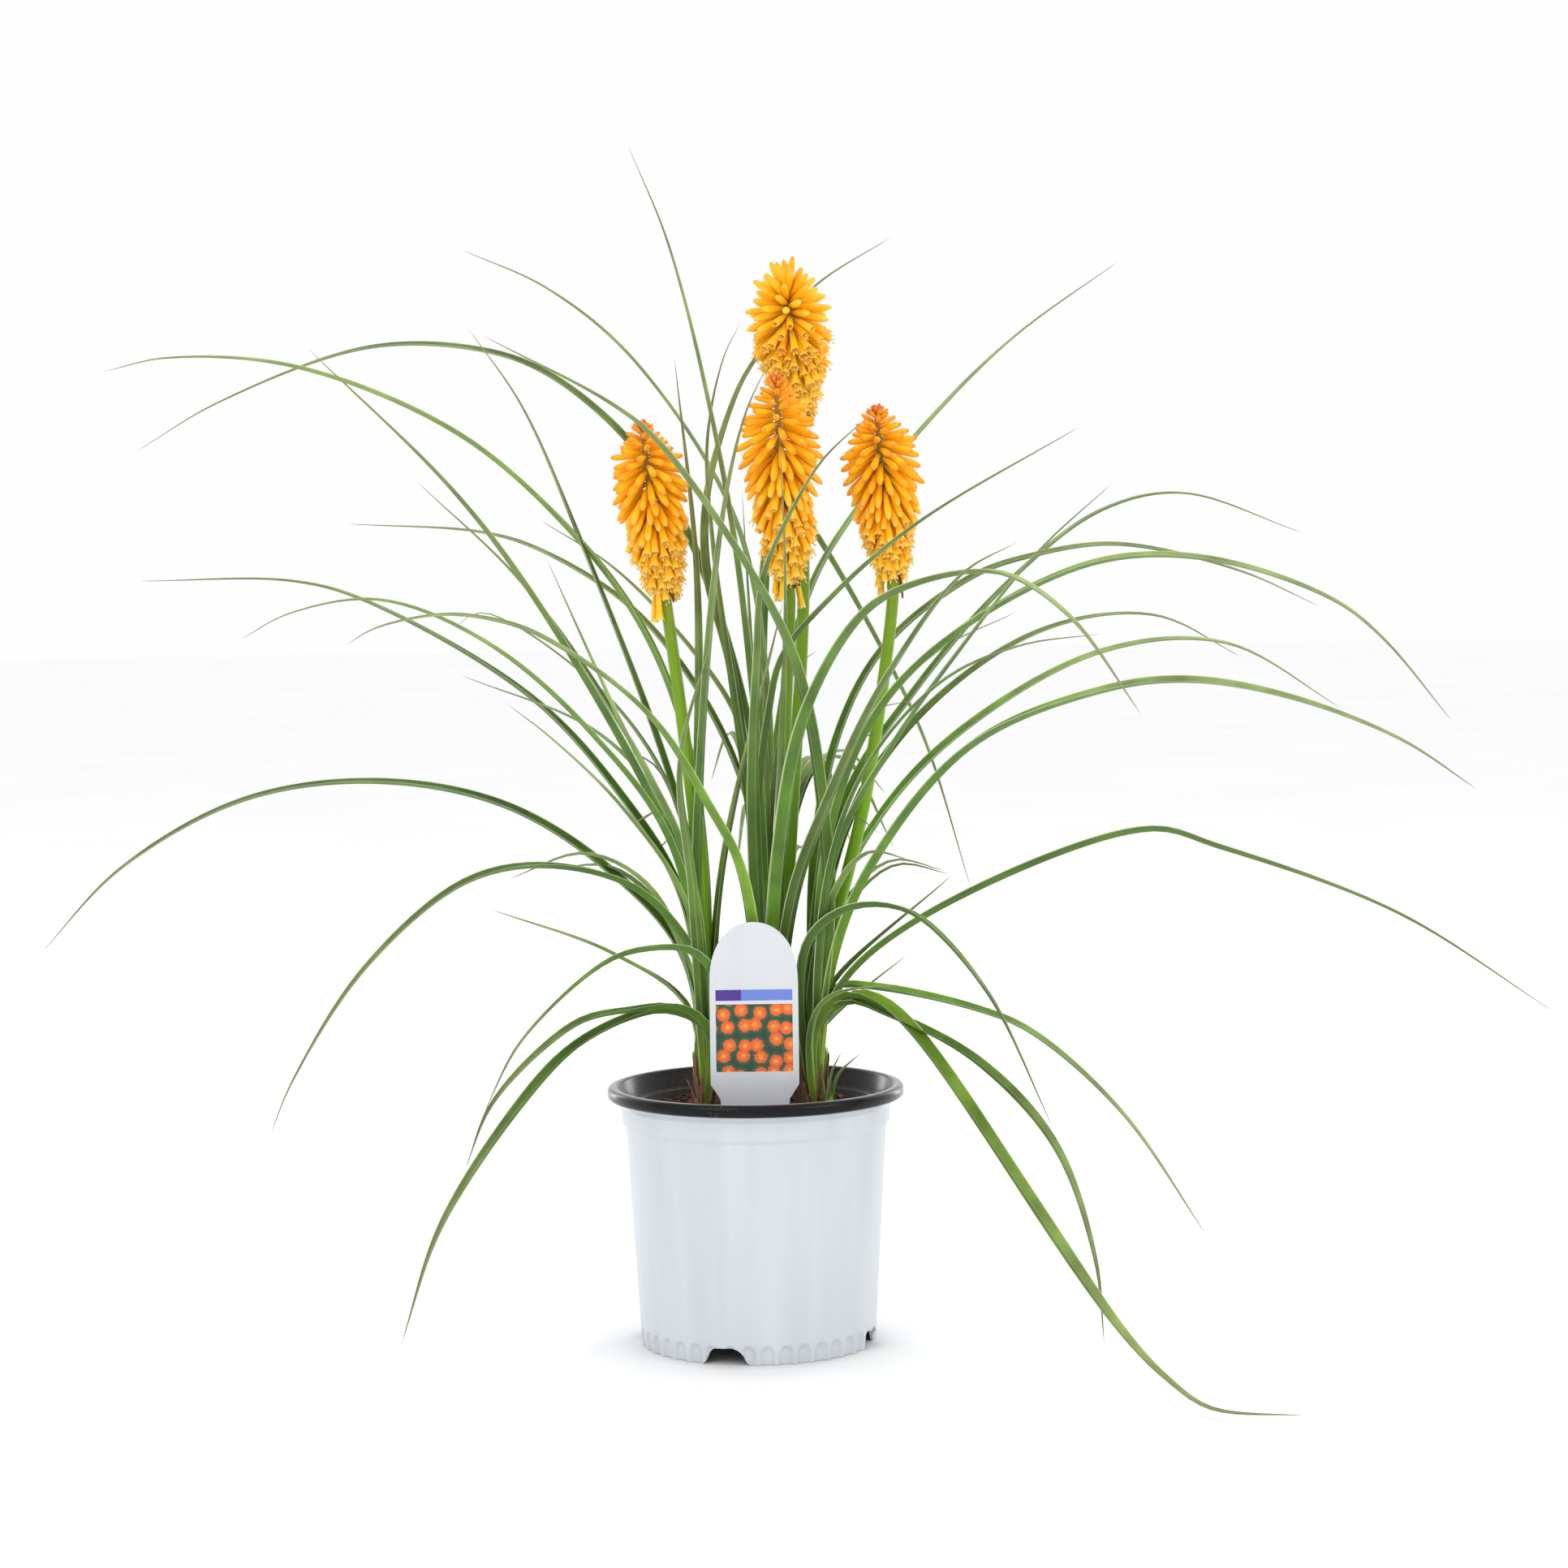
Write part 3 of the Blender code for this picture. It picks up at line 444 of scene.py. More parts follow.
def add_solid(name: str, bm: bmesh.types.BMesh) -> bpy.types.Object:
    """Turn a closed mesh into an object with its faces outwards.

    Args:
        name: the object's name.
        bm: the mesh, which is used up.

    Returns:
        The object.
    """
    bm.normal_update()
    bmesh.ops.recalc_face_normals(bm, faces=bm.faces)
    mesh = bpy.data.meshes.new(name)
    bm.to_mesh(mesh)
    bm.free()
    return add_object(name, mesh)


def spin(bm: bmesh.types.BMesh, profile: Pairs, sides: int) -> None:
    """Spin a profile into a closed solid.

    Args:
        bm: takes the solid.
        profile: (radius, height) in metres, from the middle line back to it.
        sides: number of sides.
    """
    verts = [bm.verts.new((radius, 0.0, z)) for radius, z in profile]
    edges = [bm.edges.new(pair) for pair in zip(verts, verts[1:])]
    bmesh.ops.spin(bm, geom=verts + edges, cent=(0, 0, 0), axis=(0, 0, 1), angle=TURN,
                   steps=sides, use_merge=True)
    bmesh.ops.remove_doubles(bm, verts=bm.verts, dist=0.005 * MM)


def extrude(bm: bmesh.types.BMesh, corners: Pairs, y: float, depth: float) -> None:
    """Extrude an upright outline backwards.

    Args:
        bm: takes the solid.
        corners: the outline's (x, z) in mm.
        y: where its front is.
        depth: how thick it is.
    """
    face = bm.faces.new([bm.verts.new((x * MM, y, z * MM)) for x, z in corners])
    moved = bmesh.ops.extrude_face_region(bm, geom=[face])["geom"]
    bmesh.ops.translate(bm, vec=(0, depth, 0),
                        verts=[v for v in moved if isinstance(v, bmesh.types.BMVert)])


class PieceMesh:
    """A piece while it grows: closed shells, a UV map in centimetres, a growth attribute.

    Growth holds a random tint, the share of the way along, a share across and a side.
    """

    def __init__(self) -> None:
        """Start an empty mesh with its two layers."""
        self.bm = bmesh.new()
        self.uv = self.bm.loops.layers.uv.new("UVMap")
        self.growth = self.bm.verts.layers.float_color.new("growth")

    def shell(self, around: int, along: int, place: Place, chart: Chart,
              growth: Chart | float, slot: int = 0) -> None:
        """Wrap a grid into a closed shell, and weld its seam and its two poles.

        Args:
            around: faces round the shell.
            along: faces from pole to pole.
            place: gives the point for a share round and a share along.
            chart: gives the UV in centimetres for the same shares.
            growth: gives the growth colour for the same shares, or is its tint alone.
            slot: number of the piece's material.
        """
        verts = bmesh.ops.create_grid(self.bm, x_segments=around, y_segments=along,
                                      size=0.5)["verts"]
        shares = {vert: (vert.co.x + 0.5, vert.co.y + 0.5) for vert in verts}
        for face in {face for vert in verts for face in vert.link_faces}:
            face.material_index = slot
            face.smooth = True
            for loop in face.loops:
                loop[self.uv].uv = chart(*shares[loop.vert])
        for vert, (u, v) in shares.items():
            vert[self.growth] = growth(u, v) if callable(growth) else (growth, v, 0.5, 0.0)
            vert.co = place(u, v)
        bmesh.ops.remove_doubles(self.bm, verts=verts, dist=0.0005 * MM)

    def tube(self, line: Sequence[Vector], radii: Sequence[float], around: int, tint: float,
             slot: int = 0, rib: float = 0.0) -> None:
        """Grow a round stem along a line, closed at both ends.

        Args:
            line: the stem's middle line.
            radii: its radius at each point of the line.
            around: number of sides.
            tint: random tint of the stem.
            slot: number of the piece's material.
            rib: share of the radius by which shallow ribs stand out.
        """
        last = len(line) - 1
        bases = []
        for k in range(len(line)):
            along = heading(line, k)
            side = (Vector((1, 0, 0)) - along * along.x).normalized()
            bases.append((side, along.cross(side)))

        def place(u: float, v: float) -> Vector:
            """The point for a share round and a share along."""
            k = max(0, round(v * (last + 2)) - 1)
            if v < 0.25 / (last + 2) or v > 1 - 0.25 / (last + 2):
                return line[min(k, last)].copy()
            side, up = bases[min(k, last)]
            angle = TURN * u
            radius = radii[min(k, last)] * (1 + rib * math.cos(angle * around / 4))
            return line[min(k, last)] + (side * math.cos(angle) + up * math.sin(angle)) * radius

        length = line_length(line)
        girth = TURN * max(radii) / CM
        self.shell(around, last + 2, place, lambda u, v: (u * girth, v * length / CM), tint, slot)

    def settle(self, name: str, wears: Sequence[bpy.types.Material], node: str | None,
               crease: float) -> None:
        """Turn the mesh into a finished object that rides on the root.

        Args:
            name: the piece's name.
            wears: its materials in slot order.
            node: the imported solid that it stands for, if any.
            crease: angle in degrees above which an edge is drawn sharp.
        """
        made = add_solid(name, self.bm)
        for finish in wears:
            made.data.materials.append(finish)
        made.data.set_sharp_from_angle(angle=math.radians(crease))
        seat(made, node)


def seat(made: bpy.types.Object, node: str | None) -> None:
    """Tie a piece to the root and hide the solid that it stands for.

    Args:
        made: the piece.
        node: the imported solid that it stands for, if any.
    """
    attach(made, "root")
    if node:
        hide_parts(node)
    faces = sum(len(face.vertices) - 2 for face in made.data.polygons)
    LOG.info("%s: %d triangles", made.name, faces)


# Finishes

@dataclass(frozen=True)
class Finish:
    """A material, named for what the real one is and how it was made."""

    name: str

    def feeds(self, add: AddNode) -> Feeds:
        """Build the nodes of one kind of finish.

        Args:
            add: adds a node to the material.

        Returns:
            What the shader takes.
        """
        raise NotImplementedError

    def make(self) -> bpy.types.Material:
        """Build the material.

        Returns:
            The material with its Principled shader.
        """
        made = bpy.data.materials.new(self.name)
        made.use_nodes = True
        tree = made.node_tree
        feed(tree, tree.nodes["Principled BSDF"], self.feeds(partial(add_node, tree)))
        return made


@dataclass(frozen=True)
class LeafBlade(Finish):
    """Living strap leaf: waxy and matte, veins along it, pale keel line, pale margins brightened by a
    painted edge highlight, dry tip.

    It is lime at the foot, deep green above and greyer where it arches. Each leaf is lit or
    shaded by a painted light of its own, strongest near its foot, so that neighbours stand apart.
    """

    vein: float = 0.055      # cm between veins, about twice the real spacing so that they show

    def feeds(self, add: AddNode) -> Feeds:
        """Build the nodes.

        Args:
            add: adds a node to the material.

        Returns:
            What the shader takes.
        """
        growth = add("Attribute", attribute_name="growth")
        tint, along, across = add("SeparateColor", {0: growth}).outputs
        where = add("TexCoord").outputs
        body = add("ValToRGB", {0: tint}, {
            0.0: "#2F5C12", 0.25: "#3F7616", 0.45: "#446C27", 0.62: "#547D44", 0.78: "#608940",
            0.9: "#82AC20", 1.0: "#807740"})
        age = add("ValToRGB", {0: along}, {
            0.0: "#E0F040", 0.1: "#BCE428", 0.24: "#88BC1C", 0.42: "#638A2C", 0.6: "#889E58",
            0.82: "#A2AC74", 1.0: "#94806A"})
        pull = add("ValToRGB", {0: along}, {0.0: 0.9, 0.16: 0.8, 0.32: 0.55, 0.5: 0.75, 0.72: 0.85})
        base = add("Mix", {0: pull, 6: body, 7: age}, **BLEND)
        stretch = add("Mapping", {"Scale": (1 / self.vein, 0.5, 1.0), "Vector": where["UV"]})
        veins = add("TexNoise", {"Scale": 1.0, "Detail": 2.0, "Vector": stretch})
        lines = add("ValToRGB", {0: veins}, {0.36: "#1C460A", 0.66: "#86AA52"})
        veined = add("Mix", {0: 0.2, 6: base, 7: lines}, **BLEND)
        patch = add("TexNoise", {"Scale": 38.0, "Detail": 3.0, "Vector": where["Object"]})
        light = add("ValToRGB", {0: patch}, {0.3: 0.5, 0.7: 1.3})
        # painted light and shade: each leaf is brightened or darkened by its own random factor, fully in
        # its lowest fifth and at four tenths above its middle
        spread = add("Math", {0: tint, 1: 17.3}, operation="MULTIPLY")
        lot = add("Math", {0: spread}, operation="FRACT")
        own = add("MapRange", {0: lot, 3: 0.36, 4: 1.42})
        apart = add("MapRange", {0: along, 1: 0.2, 2: 0.5, 3: 1.0, 4: 0.4})
        toned = add("Mix", {0: apart, 6: veined, 7: own}, **TIMES)
        mottled = add("Mix", {0: 0.8, 6: toned, 7: light}, **TIMES)
        # painted shade on the fold: one half of the blade darker and the other lighter, as light falls on
        # a V-folded leaf
        painted_fold_shade = add("ValToRGB", {0: across}, {0.0: 0.74, 0.4: 0.78, 0.5: 1.0, 0.58: 1.1, 1.0: 1.24})
        fold_shaded = add("Mix", {0: 0.75, 6: mottled, 7: painted_fold_shade}, **TIMES)
        under = add("Math", {0: growth.outputs["Alpha"], 1: 0.3}, operation="MULTIPLY")
        sided = add("Mix", {0: under, 6: fold_shaded, 7: "#5E7C48"}, **BLEND)
        # pale margins, partly the leaf's own colour and partly a painted highlight along both edges; a
        # paler keel line in the middle
        rim = add("ValToRGB", {0: across}, {
            0.0: 1.0, 0.08: 0.0, 0.46: 0.02, 0.5: 0.35, 0.54: 0.02, 0.94: 0.0, 1.0: 0.9})
        edged = add("Mix", {0: rim, 6: sided, 7: "#CBD8AC"}, **BLEND)
        dry = add("ValToRGB", {0: along}, {0.92: 0.0, 0.99: 0.85})
        tipped = add("Mix", {0: dry, 6: edged, 7: "#A08C74"}, **BLEND)
        level = add("SeparateXYZ", {0: where["Object"]}).outputs[2]
        height = add("Math", {0: veins, 1: 0.03, 2: level}, operation="MULTIPLY_ADD")
        low = add("MapRange", {0: height, 1: 0.146, 2: 0.168, 3: 0.7, 4: 0.0})
        near = add("MapRange", {0: along, 1: 0.1, 2: 0.2, 3: 1.0, 4: 0.0})
        foot = add("Math", {0: low, 1: near}, operation="MULTIPLY")
        stained = add("Mix", {0: foot, 6: tipped, 7: "#5E4636"}, **BLEND)
        rough = add("MapRange", {0: veins, 3: 0.42, 4: 0.6})
        relief = add("Bump", {"Strength": 0.4, "Distance": 0.15 * MM, "Height": veins})
        return {"IOR": 1.42, "Specular IOR Level": 0.24, "Subsurface Weight": 0.05,
                "Subsurface Radius": (0.6, 1.0, 0.2), "Subsurface Scale": 1.0 * MM,
                "Base Color": stained, "Roughness": rough, "Normal": relief}


@dataclass(frozen=True)
class StripedStem(Finish):
    """Fleshy stem or fibrous sheath: colours along it, fine lines down it, some random tint."""

    stops: dict[float, str]
    line: str
    spacing: float = 0.06    # cm between the lines down the stem
    strength: float = 0.35
    roughness: float = 0.45
    relief: float = 0.2

    def feeds(self, add: AddNode) -> Feeds:
        """Build the nodes.

        Args:
            add: adds a node to the material.

        Returns:
            What the shader takes.
        """
        growth = add("Attribute", attribute_name="growth")
        tint, along, _ = add("SeparateColor", {0: growth}).outputs
        where = add("TexCoord").outputs
        patch = add("TexNoise", {"Scale": 90.0, "Detail": 3.0, "Vector": where["Object"]})
        shift = add("MapRange", {0: patch, 3: -0.09, 4: 0.09})
        reach = add("Math", {0: along, 1: shift}, operation="ADD")
        body = add("ValToRGB", {0: reach}, self.stops)
        stretch = add("Mapping", {"Scale": (1 / self.spacing, 0.6, 1.0), "Vector": where["UV"]})
        lines = add("TexNoise", {"Scale": 1.0, "Detail": 3.0, "Vector": stretch})
        mask = add("ValToRGB", {0: lines}, {0.42: 0.0, 0.62: self.strength})
        lined = add("Mix", {0: mask, 6: body, 7: self.line}, **BLEND)
        shade = add("MapRange", {0: tint, 3: 0.68, 4: 1.1})
        toned = add("Mix", {0: 1.0, 6: lined, 7: shade}, **TIMES)
        relief = add("Bump", {"Strength": 0.5, "Distance": self.relief * MM, "Height": lines})
        return {"IOR": 1.42, "Specular IOR Level": 0.35, "Roughness": self.roughness,
                "Base Color": toned, "Normal": relief}


@dataclass(frozen=True)
class Petal(Finish):
    """Fleshy flower tube: satin, glowing orange, ribs along it, a pale or bronzed mouth."""

    rib: float = 0.09        # cm between the ribs of the tube

    def feeds(self, add: AddNode) -> Feeds:
        """Build the nodes.

        Args:
            add: adds a node to the material.

        Returns:
            What the shader takes.
        """
        growth = add("Attribute", attribute_name="growth")
        tint, height, reach = add("SeparateColor", {0: growth}).outputs
        where = add("TexCoord").outputs
        body = add("ValToRGB", {0: tint}, {
            0.0: "#FFB109", 0.45: "#FFC213", 0.7: "#FFD020", 1.0: "#FFE437"})
        age = add("ValToRGB", {0: height}, {
            0.0: "#FFD92E", 0.35: "#FFBC11", 0.72: "#FFC91E", 0.86: "#FFBA1A", 0.94: "#F09D2A",
            1.0: "#D8702E"})
        young = add("ValToRGB", {0: height}, {0.0: 0.35, 0.85: 0.4, 0.93: 0.8, 1.0: 1.0})
        base = add("Mix", {0: young, 6: body, 7: age}, **BLEND)
        root = add("ValToRGB", {0: reach}, {0.0: 0.8, 0.35: 0.25, 0.6: 0.0})
        rooted = add("Mix", {0: root, 6: base, 7: "#DDB82A"}, **BLEND)
        old = add("ValToRGB", {0: height}, {
            0.0: "#FFE58A", 0.46: "#FFDC70", 0.62: "#F09A2E", 0.85: "#DE7C2A", 1.0: "#C05A2C"})
        lip = add("ValToRGB", {0: reach}, {0.9: 0.0, 1.0: 0.6})
        mouth = add("Mix", {0: lip, 6: rooted, 7: old}, **BLEND)
        inner = add("Mix", {0: growth.outputs["Alpha"], 6: mouth, 7: "#F09A12"}, **BLEND)
        stretch = add("Mapping", {"Scale": (1 / self.rib, 0.7, 1.0), "Vector": where["UV"]})
        ribs = add("TexNoise", {"Scale": 1.0, "Detail": 2.0, "Vector": stretch})
        lines = add("ValToRGB", {0: ribs}, {0.32: "#FFCB80", 0.6: 1.0})
        ribbed = add("Mix", {0: 0.5, 6: inner, 7: lines}, **TIMES)
        relief = add("Bump", {"Strength": 0.4, "Distance": 0.2 * MM, "Height": ribs})
        return {"IOR": 1.4, "Roughness": 0.42, "Specular IOR Level": 0.35,
                "Subsurface Weight": 0.15, "Subsurface Radius": (1.0, 0.6, 0.1),
                "Subsurface Scale": 1.2 * MM, "Base Color": ribbed, "Normal": relief}


@dataclass(frozen=True)
class MouldedPlastic(Finish):
    """Injection-moulded polypropylene: faint flow streaks, a fine grain, scuffs and dust."""

    body: str
    streak: str
    dust: str
    roughness: float
    dusty: float
    low: float               # height in metres below which soil dust lies
    scuff: float
    gloss: float = 0.5       # how strongly it mirrors straight on
    bloom: float = 0.0       # pale film that shows where it is seen edge on

    def feeds(self, add: AddNode) -> Feeds:
        """Build the nodes.

        Args:
            add: adds a node to the material.

        Returns:
            What the shader takes.
        """
        where = add("TexCoord").outputs["Object"]
        flow = add("Mapping", {"Scale": (60.0, 60.0, 5.0), "Vector": where})
        streaks = add("TexNoise", {"Scale": 1.0, "Detail": 3.0, "Vector": flow})
        body = add("ValToRGB", {0: streaks}, {0.3: self.streak, 0.7: self.body})
        nicks = add("TexNoise", {"Scale": 700.0, "Detail": 4.0, "Vector": where})
        spots = add("TexNoise", {"Scale": 45.0, "Detail": 2.0, "Vector": where})
        worn = add("Math", {0: nicks, 1: spots}, operation="MULTIPLY")
        marks = add("ValToRGB", {0: worn}, {0.385: 0.0, 0.42: self.scuff})
        height = add("SeparateXYZ", {0: where}).outputs[2]
        depth = add("MapRange", {0: height, 1: self.low, 2: self.low - 12 * MM, 3: 0.0,
                                 4: self.dusty})
        grains = add("ValToRGB", {0: nicks}, {0.42: 0.15, 0.62: 1.0})
        flat = add("VectorMath", {0: where, 1: (1.0, 1.0, 0.0)}, operation="MULTIPLY")
        reach = add("VectorMath", {0: flat}, operation="LENGTH")
        within = add("MapRange", {0: reach, 1: 76.6 * MM, 2: 75.4 * MM, 3: 0.0, 4: 1.0})
        lying = add("Math", {0: depth, 1: within}, operation="MULTIPLY")
        soiled = add("Math", {0: lying, 1: grains}, operation="MULTIPLY")
        dusted = add("Mix", {0: soiled, 6: body, 7: self.dust}, **BLEND)
        scuffed = add("Mix", {0: marks, 6: dusted, 7: "#B9B6AE"}, **BLEND)
        rough = add("MapRange", {0: nicks, 3: self.roughness - 0.05, 4: self.roughness + 0.12})
        relief = add("Bump", {"Strength": 0.12, "Distance": 0.1 * MM, "Height": nicks})
        return {"IOR": 1.49, "Specular IOR Level": self.gloss, "Sheen Weight": self.bloom,
                "Sheen Roughness": 0.3, "Base Color": scuffed, "Roughness": rough,
                "Normal": relief}


@dataclass(frozen=True)
class PottingMix(Finish):
    """Peat and composted bark: damp dark crumbs with reddish and pale fibres, no gloss."""

    dark: str
    warm: str
    pale: str

    def feeds(self, add: AddNode) -> Feeds:
        """Build the nodes.

        Args:
            add: adds a node to the material.

        Returns:
            What the shader takes.
        """
        growth = add("Attribute", attribute_name="growth")
        tint = add("SeparateColor", {0: growth})
        where = add("TexCoord").outputs["Object"]
        crumbs = add("TexNoise", {"Scale": 330.0, "Detail": 6.0, "Vector": where})
        body = add("ValToRGB", {0: crumbs}, {0.36: self.dark, 0.6: self.warm, 0.78: self.pale})
        lift = add("MapRange", {0: tint, 3: 0.45, 4: 1.7})
        toned = add("Mix", {0: 1.0, 6: body, 7: lift}, **TIMES)
        relief = add("Bump", {"Strength": 0.9, "Distance": 0.6 * MM, "Height": crumbs})
        return {"Roughness": 0.92, "Base Color": toned, "Normal": relief}


@dataclass(frozen=True)
class LabelPrint(Finish):
    """Offset print on polystyrene sheet: round blossoms in staggered rows over dark green."""

    pitch: float = 8.5       # mm between blossoms

    def feeds(self, add: AddNode) -> Feeds:
        """Build the nodes.

        Args:
            add: adds a node to the material.

        Returns:
            What the shader takes.
        """
        x, _, z = add("SeparateXYZ", {0: add("TexCoord").outputs["Object"]}).outputs
        flat = add("CombineXYZ", {0: x, 1: z})
        cells = add("TexVoronoi", {"Scale": 1 / (self.pitch * MM), "Randomness": 0.45,
                                   "Vector": flat}, voronoi_dimensions="2D")
        ragged = add("TexNoise", {"Scale": 900.0, "Detail": 1.0, "Vector": flat},
                     noise_dimensions="2D")
        wobble = add("Math", {0: ragged, 1: 0.22, 2: cells}, operation="MULTIPLY_ADD")
        bloom = add("ValToRGB", {0: wobble}, {
            0.0: "#FFC23A", 0.22: "#FF9A24", 0.27: "#F8701C", 0.5: "#E85A14", 0.56: "#1E5B36",
            0.8: "#123A22"})
        return {"IOR": 1.55, "Roughness": 0.3, "Base Color": bloom}


@dataclass(frozen=True)
class PaperSweep(Finish):
    """Seamless studio paper: matte and almost white, with a painted soft contact shadow round the pot."""

    def feeds(self, add: AddNode) -> Feeds:
        """Build the nodes.

        Args:
            add: adds a node to the material.

        Returns:
            What the shader takes.
        """
        where = add("TexCoord").outputs["Object"]
        cloud = add("TexNoise", {"Scale": 3.0, "Detail": 3.0, "Vector": where})
        shown = add("ValToRGB", {0: cloud}, {0.3: "#FBFBFC", 0.7: "#FEFEFE"})
        reach = add("VectorMath", {0: where}, operation="LENGTH")
        # painted contact shadow: the paper is darkened in a ring just round the pot's foot
        painted_contact_shadow = add("ValToRGB", {0: reach}, {0.066: 0.8, 0.076: 0.88, 0.1: 0.94, 0.3: 1.0})
        used = add("Mix", {0: 1.0, 6: shown, 7: painted_contact_shadow}, **TIMES)
        return {"Roughness": 0.85, "Specular IOR Level": 0.2, "Base Color": used}


class Palette:
    """Every finish of the plant and its pot, each made once."""

    def __init__(self) -> None:
        """Make the materials."""
        self.leaf = LeafBlade("strap_leaf_living").make()
        self.stalk = StripedStem(
            "flower_stalk_living", {0.0: "#5E8E1E", 0.3: "#74A618", 0.7: "#7CA61E",
                                    0.93: "#74921E", 1.0: "#8E9A2E"},
            "#94BE36", 0.09, 0.16, 0.4, 0.08).make()
        self.sheath = StripedStem(
            "leaf_sheath_fibrous", {0.0: "#2E1C15", 0.25: "#56341F", 0.42: "#6E5432",
                                    0.6: "#6F8A2C", 1.0: "#669A1E"},
            "#8A6C48", 0.045, 0.6, 0.7, 0.5).make()
        self.husk = StripedStem(
            "old_sheath_papery", {0.0: "#3C2620", 0.4: "#6B4634", 0.75: "#8A6648",
                                  1.0: "#C08C5C"},
            "#A98A70", 0.03, 0.7, 0.8, 0.5).make()
        self.petal = Petal("flower_tube_living").make()
        self.rachis = StripedStem(
            "flower_spindle_living", {0.0: "#7A8A22", 0.5: "#8A8424", 1.0: "#A8702A"},
            "#B4A83C").make()
        self.stamen = StripedStem(
            "stamen_living", {0.0: "#FFD45A", 0.6: "#FFE08A", 1.0: "#D9A02A"}, "#FFF0B0").make()
        self.withered = StripedStem(
            "flower_tube_withered", {0.0: "#7A4E1C", 0.5: "#84491A", 1.0: "#3A2014"},
            "#4A2814", 0.05, 0.6, 0.75, 0.4).make()
        self.white = MouldedPlastic("polypropylene_moulded_white", "#D0D5D9", "#C6CCD1",
                                    "#9A9084", 0.36, 0.12, 8 * MM, 0.0).make()
        self.black = MouldedPlastic("polypropylene_moulded_black", "#0C0D11", "#07080B",
                                    "#3A2C22", 0.2, 0.8, 150 * MM, 0.04, 0.22, 0.7).make()
        self.soil = PottingMix("potting_mix_peat", "#120806", "#3A2016", "#64402C").make()
        self.bark = PottingMix("bark_chip_composted", "#2E170F", "#5E3220", "#A67A58").make()
        self.sheet = MouldedPlastic("polystyrene_sheet_white", "#D9DBDF", "#D2D5DA",
                                    "#C9C2B8", 0.34, 0.1, 150 * MM, 0.1).make()
        self.blossom = LabelPrint("polystyrene_sheet_printed").make()
        self.blue = MouldedPlastic("polystyrene_sheet_blue_ink", "#6E86D9", "#6880D2",
                                   "#6E86D9", 0.32, 0.0, 0.0, 0.05).make()
        self.purple = MouldedPlastic("polystyrene_sheet_purple_ink", "#4E2E90", "#482A88",
                                     "#4E2E90", 0.32, 0.0, 0.0, 0.05).make()
        self.paper = PaperSweep("studio_paper_matte").make()


@dataclass
class Assembly:
    """A part of the scene, which takes its finishes from one palette."""

    palette: Palette


# Studio

@dataclass
class Studio(Assembly):
    """Camera at the photograph's place, a white floor and soft boxes round the plant."""

    pitch: float = math.radians(-3.74)
    roll: float = math.radians(0.75)
    lens: float = 83.16
    aim: tuple[float, float, float] = (0, 0, 0.3)
    # each box: its name, place and size in metres, and watts
    boxes: tuple[tuple, ...] = (
        ("key_box", (-1.3, -2.1, 1.9), (1.5, 1.5), 12.0),
        ("fill_box", (2.0, -1.4, 1.5), (1.4, 1.4), 10.0),
        ("top_box", (0.2, 0.9, 2.5), (1.8, 1.8), 9.0),
        ("left_strip", (-1.5, 1.9, 0.6), (0.5, 1.4), 11.0),
        ("right_strip", (1.5, 1.9, 0.6), (0.5, 1.4), 11.0),
    )

    def build(self) -> None:
        """Set up the camera, the floor and the light."""
        self.camera()
        self.floor()
        self.light()
        LOG.info("studio: camera, floor and %d soft boxes", len(self.boxes))

    def camera(self) -> None:
        """Place the camera."""
        forward = Vector((0, math.cos(self.pitch), math.sin(self.pitch)))
        level = Vector((1, 0, 0))
        upright = level.cross(forward)
        right = level * math.cos(self.roll) - upright * math.sin(self.roll)
        up = level * math.sin(self.roll) + upright * math.cos(self.roll)
        data = bpy.data.cameras.new("camera")
        data.sensor_width = 36.0
        data.lens = self.lens
        data.clip_end = 60.0
        made = add_object("camera", data)
        turn = Matrix((right, up, -forward)).transposed().to_4x4()
        made.matrix_world = Matrix.Translation(EYE) @ turn
        bpy.context.scene.camera = made

    def floor(self) -> None:
        """Lay the paper floor."""
        bm = bmesh.new()
        bmesh.ops.create_circle(bm, cap_ends=True, segments=64, radius=14.0)
        mesh = bpy.data.meshes.new("studio_floor")
        bm.to_mesh(mesh)
        bm.free()
        mesh.materials.append(self.palette.paper)
        add_object("studio_floor", mesh)

    def light(self) -> None:
        """Hang the soft boxes and light the room."""
        world = bpy.data.worlds.new("studio_room")
        world.use_nodes = True
        world.node_tree.nodes["Background"].inputs["Color"].default_value = linear("#FEFEFF")
        bpy.context.scene.world = world
        for name, place, size, power in self.boxes:
            data = bpy.data.lights.new(name, "AREA")
            data.shape = "RECTANGLE"
            data.size, data.size_y = size
            data.energy = power
            lamp = add_object(name, data)
            lamp.location = place
            way = Vector(self.aim) - Vector(place)
            lamp.rotation_euler = way.to_track_quat("-Z", "Y").to_euler()
        bpy.context.scene.view_settings.view_transform = "Standard"


# Pot, soil and label

